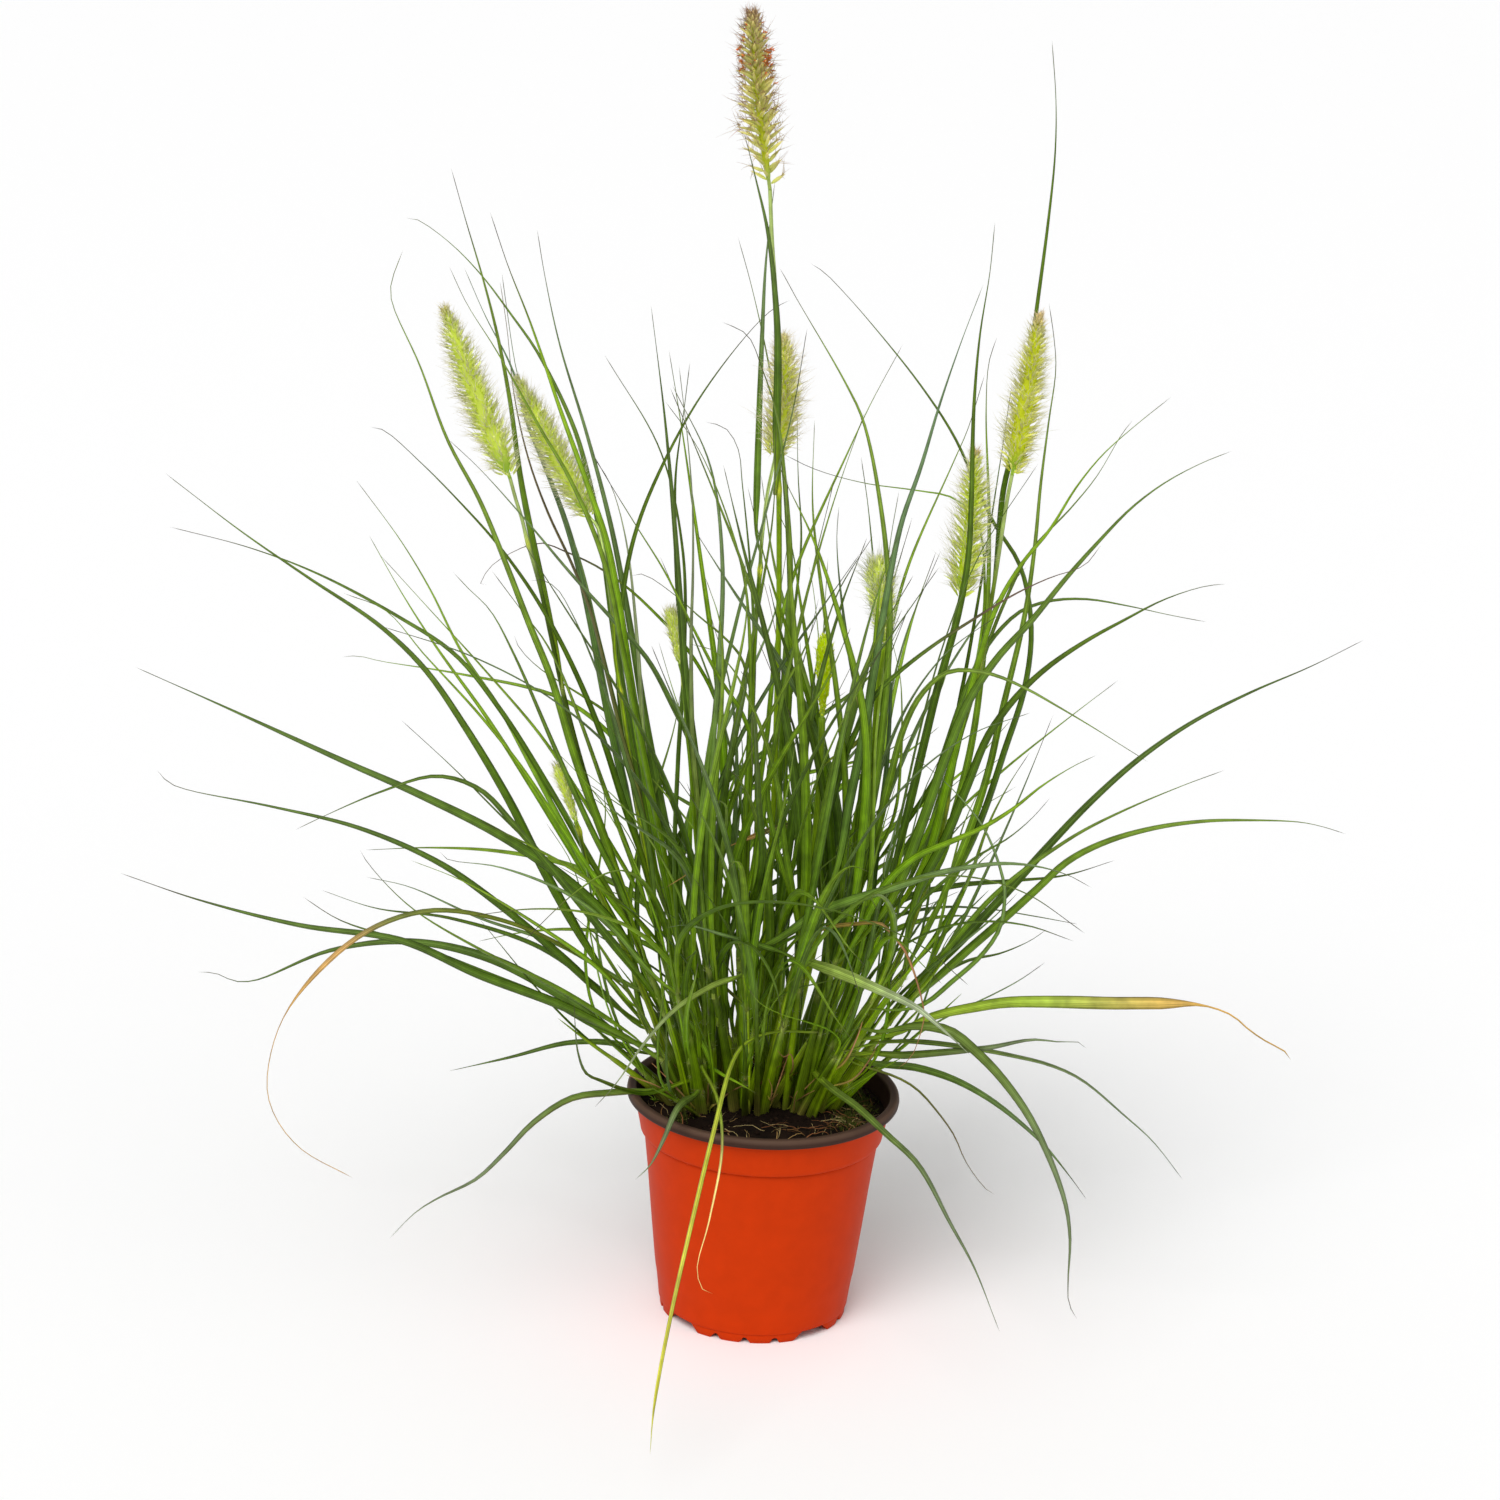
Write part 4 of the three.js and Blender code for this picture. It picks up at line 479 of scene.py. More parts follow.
    (80, 3, [(1053, 715), (1039, 750), (1016, 805), (989, 865), (958, 928), (925, 980), (890, 1020)]),
    # Low on the right
    (-190, 6.5, [(1092, 888), (1068, 875), (1037, 866), (1003, 863), (966, 867), (929, 875), (900, 885),
      (844, 902), (812, 915), (791, 930), (763, 968)]),
    (120, 3.5, [(1047, 929), (1031, 940), (1000, 953), (968, 960), (937, 976), (905, 1000),
      (875, 1030)]),
    (-40, 7.2, [(1291, 1060), (1285, 1051), (1268, 1042), (1250, 1030), (1232, 1015), (1203, 1005),
      (1163, 1002), (1110, 1002), (1058, 1001), (1005, 1002), (974, 1007), (929, 1017), (895, 1032),
      (866, 1048)], "margin"),
    (-60, 3, [(908, 753), (934, 772), (960, 797), (984, 828), (1001, 870), (1005, 894), (1000, 928),
      (982, 955), (953, 981), (921, 1005), (890, 1028)]),
    (-100, 5, [(1087, 1049), (1081, 1043), (1058, 1042), (1032, 1040), (988, 1048), (935, 1053),
      (901, 1055), (877, 1054), (852, 1054)], "dusty"),
    (-60, 4.5, [(1183, 1180), (1153, 1142), (1124, 1116), (1080, 1080), (1049, 1066), (1012, 1057),
      (974, 1050), (928, 1044), (891, 1043), (865, 1050)], "dusty"),
    (-110, 5.5, [(1077, 1319), (1069, 1304), (1068, 1283), (1070, 1237), (1064, 1198), (1034, 1125),
      (1005, 1082), (978, 1053), (950, 1031), (916, 1025), (877, 1031), (852, 1038)], "dusty"),
    (40, 5, [(1087, 1200), (1068, 1174), (1044, 1145), (1017, 1120), (986, 1097), (952, 1079),
      (916, 1068), (877, 1063), (850, 1072)]),
    (-110, 5.2, [(1000, 1333), (974, 1268), (950, 1224), (918, 1166), (886, 1135, -72),
      (857, 1108, -60), (831, 1089, -46), (812, 1084)], "dusty"),
    (-50, 1.7, [(995, 1195), (986, 1189), (966, 1162), (954, 1135), (937, 1111), (918, 1090),
      (899, 1078), (870, 1074)], "brown"),
    # This blade's pale green carries painted light, lightened because it faces away from the lamps
    (-150, 8, [(971, 1056), (954, 1040), (935, 1023), (918, 1009), (876, 988), (834, 970),
      (812, 963), (790, 957)], "frosted"),
    (-120, 3, [(897, 1069), (911, 1057), (921, 1031), (924, 1017), (922, 1002), (910, 963),
      (901, 946), (880, 924), (865, 924), (823, 930), (806, 960)], "straw"),
]


# Small leaves that the part leaves out: depth, width, route from tip to root, look
SMALL_BLADES = [
    (-58, 3.2, [(866, 1008), (858, 1036), (845, 1062), (828, 1086)], "straw"),
    (-50, 2.2, [(880, 1040), (868, 1062), (852, 1080), (836, 1096)], "straw"),
    (-30, 3.4, [(847, 629), (850, 655), (855, 690), (862, 735), (868, 800)], "cut"),
    (-66, 2.0, [(777, 1050), (784, 1057), (790, 1054), (793, 1066), (788, 1084)], "straw"),
    (-70, 1.6, [(768, 1078), (772, 1088), (770, 1100), (764, 1110)], "straw"),
    (40, 2.6, [(696, 980), (705, 977), (716, 979), (728, 990), (736, 1010)], "brown"),
]


def paint(red, green, blue):
    """A colour of a screen, in 0 to 255, as light."""
    shares = np.array([red, green, blue]) / 255
    return np.where(shares <= 0.04045, shares / 12.92, ((shares + 0.055) / 1.055) ** 2.4)


def blade_look(green, tip, start, end, *shape):
    """How a blade is coloured: its green, or None for any of the leaf greens, the colour of its tip, and the
    shares of its length where that colour starts and is full. Its shape, where it isn't the usual one, is the
    share at which it is broad and the share from which its dried tip is a thread."""
    return {"green": green, "tip": tip, "start": start, "end": end, "shape": shape}


# Colours
LEAF_GREENS = (
    paint(110, 142, 32), paint(94, 126, 28), paint(122, 158, 28),
    paint(80, 110, 14), paint(108, 138, 56), paint(126, 168, 20),
)
SHEATH_GREENS = (paint(140, 174, 10), paint(122, 158, 8), paint(160, 188, 24), paint(104, 132, 16))
SHEATH_FOOT = paint(112, 104, 46)
STALK_PALE = paint(186, 206, 124)
COLLAR_PALE = paint(176, 190, 90)
# Tints along a blade: the inner part is yellower, its own colour, and darker as painted shade deep in the
# clump; the outer part is bluer
INNER_TINT_AND_SHADE = np.array([0.86, 0.9, 0.62])
OUTER_TINT = np.array([1.06, 0.95, 2.1])
TIP_BROWN = paint(74, 68, 46)
HAIR_PALE = paint(214, 222, 176)
NODE_YELLOW = paint(206, 214, 60)
LOOKS = {
    "plain": blade_look(None, TIP_BROWN, 0.84, 1.0),
    "dusty": blade_look(paint(104, 124, 58), TIP_BROWN, 0.9, 1.0),
    "deep": blade_look(paint(84, 112, 30), TIP_BROWN, 0.84, 1.0),
    "blue": blade_look(paint(104, 138, 62), TIP_BROWN, 0.88, 1.0),
    "bright": blade_look(paint(130, 170, 22), TIP_BROWN, 0.9, 1.0),
    # A pale green lightened past the leaf's own colour: painted light on a blade that faces away from the
    # lamps
    "frosted": blade_look(paint(184, 206, 116), paint(160, 170, 90), 0.9, 1.0),
    "pale": blade_look(paint(146, 166, 84), TIP_BROWN, 0.85, 1.0),
    "yellow": blade_look(paint(140, 158, 48), paint(186, 184, 62), 0.2, 0.6, 0.3, 0.86),
    "fading": blade_look(paint(130, 148, 48), paint(226, 206, 130), 0.35, 0.6),
    "brown": blade_look(paint(100, 104, 44), paint(96, 84, 50), 0.3, 0.8),
    "brown tip": blade_look(None, paint(112, 90, 72), 0.6, 0.85),
    "tan": blade_look(paint(118, 128, 50), paint(186, 148, 84), 0.5, 0.6, 0.5, 0.6),
    "straw": blade_look(paint(168, 140, 80), paint(176, 128, 84), 0.35, 0.6),
    "cut": blade_look(paint(150, 160, 60), paint(206, 190, 90), 0.6, 0.97),
    "margin": blade_look(paint(158, 182, 62), paint(208, 166, 84), 0.4, 0.8, 0.5, 0.66),
}

# Flower heads from the oldest to the youngest. Lengths are for a head of the usual radius. "girth", "core"
# and "foot" are shares of the head's radius, "top" and "crown from" are shares of its length, "rise" is in
# degrees, and "bristles" and their places are for each husk.
ANTHER_ORANGE = paint(250, 156, 72)
STIGMA_PURPLE = paint(186, 130, 108)
HEAD_KINDS = ("ripe", "fresh", "fluffy", "dull", "gold", "open", "white", "spindle", "brush", "brush")
BOTTLE = {
    "brush": False, "top": 0.97, "blunt": 9, "girth": 1.06, "core": 0.42, "crown from": 0.93, "anthers": 0,
    "husks": 300, "crowding": 0.92, "husk length": 6.6, "husk width": 1.7, "rise": 40,
    "bristles": 5, "bristles from": (0.1, 0.7), "bristle length": 9.5, "bristle radius": 0.17,
    "spread": 0.24, "curl": 0.2, "lift": 0.25,
    "stalk": paint(190, 220, 90), "body": paint(236, 248, 116),
    "husk": paint(245, 253, 130), "husk tip": paint(252, 255, 196),
    "bristle": paint(252, 255, 220), "bristle tip": paint(244, 236, 216),
    "crown": paint(220, 168, 140),
}
BRUSH = {
    **BOTTLE, "brush": True, "foot": 0.3, "top": 0.84, "girth": 0.9, "core": 0.85, "crown from": 1.0,
    "husks": 120, "husk length": 9, "husk width": 1.4, "rise": 74,
    "bristles": 3, "bristle length": 17, "bristle radius": 0.15,
    "spread": 0.16, "curl": 0.06, "lift": 0.1,
    "body": paint(234, 248, 100), "husk": paint(240, 250, 120), "husk tip": paint(250, 254, 180),
    "bristle": paint(252, 255, 210), "bristle tip": paint(252, 246, 236),
}
HEAD_STYLES = {
    "ripe": {
        **BOTTLE, "core": 0.14, "crown from": 0.9, "anthers": 130,
        "husks": 180, "crowding": 0.62, "husk length": 10, "husk width": 2.5, "rise": 36,
        "bristles": 6, "bristles from": (0.5, 1.0), "bristle length": 6, "bristle radius": 0.18,
        "spread": 0.5, "curl": 0.5, "lift": 0.6,
        "stalk": paint(190, 208, 120), "body": paint(216, 222, 64),
        "husk": paint(228, 234, 136), "husk tip": paint(252, 242, 176),
        "bristle": paint(248, 234, 180), "bristle tip": paint(176, 138, 120),
        "crown": paint(190, 146, 124),
    },
    "fresh": {**BOTTLE, "girth": 1.16, "crown": paint(240, 226, 160)},
    "fluffy": {
        **BOTTLE, "girth": 1.2, "husk length": 7.6, "spread": 0.3, "bristle length": 11, "crown from": 1.0,
    },
    "dull": {
        **BOTTLE, "core": 0.4, "husks": 280, "husk length": 8.4,
        "bristles": 4, "bristle length": 10.5, "spread": 0.32, "curl": 0.32, "lift": 0.4,
        "body": paint(236, 246, 90), "husk": paint(250, 252, 130), "husk tip": paint(255, 254, 206),
        "bristle": paint(255, 254, 224), "bristle tip": paint(250, 238, 216),
        "crown": paint(250, 240, 200),
    },
    "gold": {
        **BOTTLE, "crown from": 0.86,
        "body": paint(232, 240, 60), "husk": paint(248, 250, 100), "husk tip": paint(253, 252, 186),
        "bristle": paint(252, 252, 206), "bristle tip": paint(248, 244, 214),
        "crown": paint(240, 214, 176),
    },
    "open": {
        **BOTTLE, "core": 0.26, "husks": 220, "husk length": 9.4, "rise": 42,
        "bristle length": 12, "bristle radius": 0.14,
        "body": paint(222, 240, 56), "husk": paint(240, 250, 90), "husk tip": paint(250, 254, 166),
        "bristle": paint(252, 254, 214), "bristle tip": paint(250, 244, 234),
    },
    "white": {
        **BRUSH, "top": 0.9, "girth": 1.0, "core": 0.66,
        "husks": 260, "husk length": 8.5, "husk width": 1.9, "rise": 56,
        "bristle length": 15, "bristle radius": 0.16, "spread": 0.34, "curl": 0.14,
        "body": paint(238, 250, 110), "husk": paint(246, 254, 140),
        "bristle": paint(252, 255, 220), "bristle tip": paint(255, 255, 250),
    },
    "spindle": {
        **BRUSH, "top": 0.96, "blunt": 4, "girth": 2.0, "foot": 0.08,
        "husks": 150, "husk width": 1.7, "bristle length": 9, "bristle radius": 0.12,
        "body": paint(218, 240, 10), "husk": paint(230, 246, 30), "husk tip": paint(240, 250, 90),
        "bristle": paint(244, 250, 170), "bristle tip": paint(248, 244, 220),
        "crown": paint(236, 244, 110),
    },
    "brush": BRUSH,
}

# Pot and soil
POT_ORANGE = paint(196, 54, 6)
POT_BROWN = paint(62, 44, 37)
# A lighter brown painted along the top of the pot's lip as a highlight, where the key light catches the rim
RIM_PAINTED_HIGHLIGHT = paint(100, 78, 64)
SOIL_BROWN = paint(26, 16, 10)
MOSS_GREEN = paint(58, 66, 20)
STRAWS = (paint(176, 140, 88), paint(206, 182, 126), paint(128, 92, 54), paint(170, 112, 72))


def make_dice(seed):
    """A repeatable source of numbers between 0 and 1, the same as in the part."""
    state = seed

    def throw():
        nonlocal state
        state = (state + 0x6D2B79F5) & 0xFFFFFFFF
        mixed = ((state ^ (state >> 15)) * (1 | state)) & 0xFFFFFFFF
        step = ((mixed ^ (mixed >> 7)) * (61 | mixed)) & 0xFFFFFFFF
        mixed = ((mixed + step) & 0xFFFFFFFF) ^ mixed
        return ((mixed ^ (mixed >> 14)) & 0xFFFFFFFF) / 4294967296

    return throw


def drawn(least_and_spread, dice):
    least, spread = least_and_spread
    return least + spread * dice()


def unit(vectors):
    lengths = np.linalg.norm(vectors, axis=-1, keepdims=True)
    return vectors / np.maximum(lengths, TINY)


def lerp(start, end, share):
    return start + (end - start) * share


def smooth_step(values):
    shares = np.clip(values, 0, 1)
    return shares * shares * (3 - 2 * shares)


def outward(turn):
    """The level direction at an angle."""
    return np.array([math.cos(turn), math.sin(turn), 0.0])


def step_lengths(line):
    return np.linalg.norm(np.diff(line, axis=0), axis=1)


def travel(line):
    """How far along a line each of its points is."""
    return np.concatenate([[0], np.cumsum(step_lengths(line))])


def sight_point(u, v, depth):
    """The point at a given depth on the line of sight through a pixel of the picture."""
    across = u - PICTURE_SIDE / 2
    down = v - PICTURE_SIDE / 2
    right = (across * math.cos(EYE_ROLL) + down * math.sin(EYE_ROLL)) / EYE_FOCAL
    rise = (across * math.sin(EYE_ROLL) - down * math.cos(EYE_ROLL)) / EYE_FOCAL
    ahead = math.cos(EYE_PITCH) + rise * math.sin(EYE_PITCH)
    up = rise * math.cos(EYE_PITCH) - math.sin(EYE_PITCH)
    x = right * math.cos(EYE_YAW) + ahead * math.sin(EYE_YAW)
    y = ahead * math.cos(EYE_YAW) - right * math.sin(EYE_YAW)
    reach = (depth - EYE[1]) / y
    return np.array([x * reach, depth, EYE[2] + up * reach])


def pixel_of(point):
    """The pixel of the picture that shows a point."""
    x, y, z = point - EYE
    right = x * math.cos(EYE_YAW) - y * math.sin(EYE_YAW)
    ahead = x * math.sin(EYE_YAW) + y * math.cos(EYE_YAW)
    distance = ahead * math.cos(EYE_PITCH) - z * math.sin(EYE_PITCH)
    rise = ahead * math.sin(EYE_PITCH) + z * math.cos(EYE_PITCH)
    across = right / distance * EYE_FOCAL
    down = -rise / distance * EYE_FOCAL
    u = PICTURE_SIDE / 2 + across * math.cos(EYE_ROLL) - down * math.sin(EYE_ROLL)
    v = PICTURE_SIDE / 2 + across * math.sin(EYE_ROLL) + down * math.cos(EYE_ROLL)
    return np.array([u, v])


def route_in_space(route, root_point, tip_depth, shift=0.0):
    """Points in space for a route, root first, as the part lays them: depth changes evenly between marks."""
    inward = route[::-1]
    steps = [math.dist(one[:2], other[:2]) for one, other in zip(inward, inward[1:])]
    travelled = np.concatenate([[0], np.cumsum(steps)])
    marks = [(0.0, root_point[1])]
    marks += [(at, pixel[2]) for at, pixel in zip(travelled[1:-1], inward[1:-1]) if len(pixel) > 2]
    marks.append((travelled[-1], tip_depth))
    depths = np.interp(travelled, *zip(*marks)) + shift * travelled / travelled[-1]
    points = [sight_point(pixel[0], pixel[1], depth) for pixel, depth in zip(inward, depths)]
    return np.array([root_point] + points[1:])


def smooth_course(points, count, divisions=200):
    """Evenly spaced points on the smooth curve through some points: a centripetal Catmull-Rom spline."""
    ends = np.vstack([2 * points[0] - points[1], points, 2 * points[-1] - points[-2]])
    x0, x1, x2, x3 = ends[:-3], ends[1:-2], ends[2:-1], ends[3:]
    pairs = ((x0, x1), (x1, x2), (x2, x3))
    d0, d1, d2 = (np.sqrt(np.linalg.norm(b - a, axis=1, keepdims=True)) for a, b in pairs)
    start = ((x1 - x0) / d0 - (x2 - x0) / (d0 + d1) + (x2 - x1) / d1) * d1
    end = ((x2 - x1) / d1 - (x3 - x1) / (d1 + d2) + (x3 - x2) / d2) * d1
    square = -3 * x1 + 3 * x2 - 2 * start - end
    cube = 2 * x1 - 2 * x2 + start + end

    def at(shares):
        place = shares * (len(points) - 1)
        piece = np.minimum(place.astype(int), len(points) - 2)
        t = (place - piece)[:, None]
        return x1[piece] + start[piece] * t + square[piece] * t**2 + cube[piece] * t**3

    coarse = np.linspace(0, 1, divisions + 1)
    lengths = travel(at(coarse))
    return at(np.interp(np.linspace(0, lengths[-1], count + 1), lengths, coarse))


def straightened(line, tolerance):
    """The few points of a line that keep it within a tolerance of its full course."""
    chord = line[-1] - line[0]
    share = np.clip((line - line[0]) @ chord / (chord @ chord), 0, 1)
    offsets = np.linalg.norm(line[0] + share[:, None] * chord - line, axis=1)
    turn = int(np.argmax(offsets))
    if offsets[turn] <= tolerance:
        return np.array([line[0], line[-1]])
    before = straightened(line[: turn + 1], tolerance)
    return np.vstack([before[:-1], straightened(line[turn:], tolerance)])


def part_line(points):
    """The line in few straight steps that the part has for a blade or a culm."""
    course = smooth_course(points, COURSE_STEPS)
    tolerance = FINEST_TOLERANCE
    line = straightened(course, tolerance)
    while len(line) > BLADE_STEPS + 1:
        tolerance *= COARSER
        line = straightened(course, tolerance)
    return line


def point_on(line, share):
    """The point at a share of a line's length, counted in its steps."""
    place = share * (len(line) - 1)
    step = min(int(place), len(line) - 2)
    return lerp(line[step], line[step + 1], place - step)


def arc_share(line, share):
    """The share of a line's length at a share of its steps."""
    lengths = travel(line)
    return float(np.interp(share * (len(line) - 1), np.arange(len(line)), lengths / lengths[-1]))


def nearest_share(line, pixel):
    """The share of a line where the picture shows it nearest to a pixel."""
    shares = [lerp(LOWEST_ROOT, HIGHEST_ROOT, i / ROOT_PLACES) for i in range(ROOT_PLACES + 1)]
    return min(shares, key=lambda share: math.dist(pixel_of(point_on(line, share)), pixel[:2]))


def soil_height(out):
    return SOIL_CROWN - SOIL_DROP * max(0.0, (out - SOIL_FLAT) / (SOIL_RADIUS - SOIL_FLAT))


def new_stem(points, line, knots=(), top=None):
    """A stem: its full course, the part's line for it, its nodes' places and, on a culm, its top's radius."""
    return {"points": points, "line": line, "blades": [], "knots": knots, "top": top}


def new_blade(points, width, facing, roll, twist, look="plain", share=0.0):
    """A blade: its course and width, the way its upper face looks, and the share of its stem where it is."""
    return {
        "points": points, "width": width, "facing": facing,
        "roll": roll, "twist": twist, "look": look, "share": share,
    }


def stem_places():
    """The bunch and the foot of each stem: each bunch is a spiral of places with an even spacing."""
    places = []
    for number, (middle_x, middle_y, count) in enumerate(BUNCHES):
        for k in range(count):
            out = STEM_SPACING * math.sqrt(k + 0.5)
            turn = k * GOLDEN_ANGLE + number
            x = middle_x + out * math.cos(turn)
            y = middle_y + out * math.sin(turn)
            foot = np.array([x, y, soil_height(math.hypot(x, y)) - HOLE_DEPTH])
            places.append((number, foot))
    return places


def sheath_line(bunch, foot, length, i):
    """A sheath's line, nudged to the i-th place of a widening spiral."""
    nudge = SHEATH_NUDGE * math.sqrt(i)
    lean = [
        (foot[axis] - CLUMP_MIDDLE[axis]) * LEAN_PER_MM
        + (foot[axis] - BUNCHES[bunch][axis]) * BUNCH_LEAN_PER_MM
        + nudge * (math.cos, math.sin)[axis](i * GOLDEN_ANGLE)
        for axis in (0, 1)
    ]
    line = [foot]
    for step in range(SHEATH_STEPS):
        share = 0.8 + 0.2 * step
        direction = unit(np.array([lean[0] * share, lean[1] * share, 1.0]))
        line.append(line[-1] + direction * length / SHEATH_STEPS)
    return np.array(line)


def ring_corners(line):
    """The four corners of a sheath's top ring in the part."""
    tangent = unit(line[-1] - line[-2])
    across = unit(np.cross([0, 1, 0], tangent))
    normal = np.cross(tangent, across)
    return [line[-1] + SHEATH_TOP_RADIUS * side for side in (across, -across, normal, -normal)]


def arch(line, share, out, tip, droop):
    """The points of a blade laid by rule: it follows its sheath, then arches out to its tip."""
    root = point_on(line, share)
    sheath = unit(line[SHEATH_STEPS] - line[0])
    span = math.dist(root, tip)
    end = unit(out + np.array([0, 0, droop]))
    pulls = [root, root + sheath * ROOT_PULL * span, tip - end * TIP_PULL * span, tip]
    t = np.linspace(0, 1, ARCH_POINTS)[:, None]
    shares = [(1 - t) ** 3, 3 * t * (1 - t) ** 2, 3 * t**2 * (1 - t), t**3]
    return sum(pull * part for pull, part in zip(pulls, shares))


class Plant:
    """Where the part's stems and blades are: the same rules, dice and tables as in its source."""

    def __init__(self, nodes):
        self.corners = {}
        for name, obj in nodes.items():
            if name.startswith(("culm_", "shoot_")):
                flat = np.empty(3 * len(obj.data.vertices))
                obj.data.vertices.foreach_get("co", flat)
                self.corners[name] = flat.reshape(-1, 3) / MM
        self.owners = [name for name, corners in self.corners.items() for _ in corners]
        self.tree = kdtree.KDTree(len(self.owners))
        for index, corner in enumerate(np.vstack(list(self.corners.values()))):
            self.tree.insert(corner, index)
        self.tree.balance()
        self.dice = make_dice(SEED)
        self.places = stem_places()
        self.stems = {}
        self.lay_culms()
        self.lay_shoots()
        self.lay_drawn_blades()
        self.lay_other_blades()

    def nearest_corner(self, point):
        """How far the nearest corner of the stems and blades is from a point, and its node."""
        _, index, distance = self.tree.find(point)
        return distance, self.owners[index]

    def misfit(self, name, points):
        """How far some points are from the nearest corners of a node, added up."""
        gaps = np.linalg.norm(self.corners[name][None] - np.asarray(points)[:, None], axis=2)
        return gaps.min(axis=1).sum()

    def lay_culms(self):
        """The flowering stems, each on the free place of its bunch that is nearest to its drawn foot."""
        for number, culm in enumerate(CULMS):
            lowest = culm["stem"][-1]
            near = [place for place in self.places if place[0] == culm["bunch"]]
            best = min(near, key=lambda place: math.dist(pixel_of(place[1]), lowest))
            self.places = [place for place in self.places if place is not best]
            foot = best[1]
            route = [culm["head"][-1], *culm["stem"], tuple(pixel_of(foot))]
            points = route_in_space(route, foot, culm["depth"])
            knots = [nearest_share(points, pixel) for pixel in [culm.get("knot")] if pixel]
            self.stems[f"culm_{number + 1}"] = new_stem(points, part_line(points), knots, culm["top"])

    def lay_shoots(self):
        """The leafy stems, each with the line whose top ring fits the part best."""
        for number, (bunch, foot) in enumerate(self.places):
            name = f"shoot_{number + 1}"
            length = SHEATH_SHORTEST + SHEATH_SPREAD * self.dice()
            lines = [sheath_line(bunch, foot, length, i) for i in range(SHEATH_TRIES)]
            line = min(lines, key=lambda line: self.misfit(name, ring_corners(line)))
            self.stems[name] = new_stem(line, line)

    def lay_drawn_blades(self):
        """The blades of the table, each on the stem whose node has a corner nearest to the blade's tip."""
        shifts = [DEPTH_SHIFT * math.ceil(i / 2) * (1 if i % 2 else -1) for i in range(DEPTH_TRIES)]
        for depth, width, route, *look in DRAWN_BLADES:
            roll = DRAWN_ROLL * (self.dice() - 0.5)
            twist = DRAWN_TWIST * (self.dice() - 0.5)
            tips = [(*self.nearest_corner(sight_point(*route[0], depth + shift)), shift) for shift in shifts]
            _, owner, shift = min(tips)
            line = self.stems[owner]["line"]
            nearest = nearest_share(line, route[-1])
            ways = []
            for root_shift in ROOT_SHIFTS:
                share = min(max(nearest + root_shift, LOWEST_ROOT), HIGHEST_ROOT)
                points = route_in_space(route, point_on(line, share), depth, shift)
                ways.append((self.misfit(owner, part_line(points)[1:-1]), share, points))
            _, share, points = min(ways, key=lambda way: way[0])
            look = look[0] if look else "plain"
            self.stems[owner]["blades"].append(
                new_blade(points, FULLER_DRAWN * width, TO_EYE, roll, twist, look, share)
            )

    def lay_other_blades(self):
        """The blades laid by rule. The part left out those that found no room, and so has no corner there."""
        dice = self.dice
        shoots = [(name, stem) for name, stem in self.stems.items() if name.startswith("shoot_")]
        for name, stem in shoots:
            foot = stem["line"][0]
            front = foot[1] < CLUMP_MIDDLE[1]
            lowest = LOWEST_FRONT_TIP if front else LOWEST_BACK_TIP
            for _ in range(BLADE_DRAWS):
                if len(stem["blades"]) >= BLADES_A_SHOOT:
                    break
                fall = math.radians(drawn(FALL_DEGREES, dice))
                size = drawn(SIZES, dice)
                aside = ASIDE_SPREAD * (dice() - 0.5) + (1 if front else -1) * foot[0] * ASIDE_PER_MM
                turn = (-math.pi / 2 if front else math.pi / 2) + aside
                reach = BLADE_REACH * math.sin(fall) * size
                height = lowest + BLADE_RISE * math.cos(fall) * size
                droop = 2 * math.cos(fall) - 0.9 * dice()
                share = lerp(HIGHEST_ROOT, LOWEST_OTHER_ROOT, dice())
                width = drawn(OTHER_WIDTHS, dice)
                roll = OTHER_ROLL * (dice() - 0.5)
                twist = OTHER_TWIST * (dice() - 0.5)
                for shift in TURN_SHIFTS:
                    out = outward(turn + shift)
                    tip = out * reach + np.array([0, 0, height])
                    distance, owner = self.nearest_corner(tip)
                    if distance < TIP_TOLERANCE and owner == name:
                        points = arch(stem["line"], share, out, tip, droop)
                        wide = FULLER_OTHER * width
                        blade = new_blade(points, wide, facing_up(out), roll, twist, share=share)
                        stem["blades"].append(blade)
                        break


def facing_up(out):
    """The way the upper face of a blade looks that leans outward."""
    return unit(np.array([-out[0], -out[1], 1.0]))


def ring_quads(index):
    """The four-sided faces between rings of corners, from the corners' numbers."""
    ahead = np.roll(index, -1, axis=1)
    return np.stack([index[:-1], ahead[:-1], ahead[1:], index[1:]], axis=-1).reshape(-1, 4)


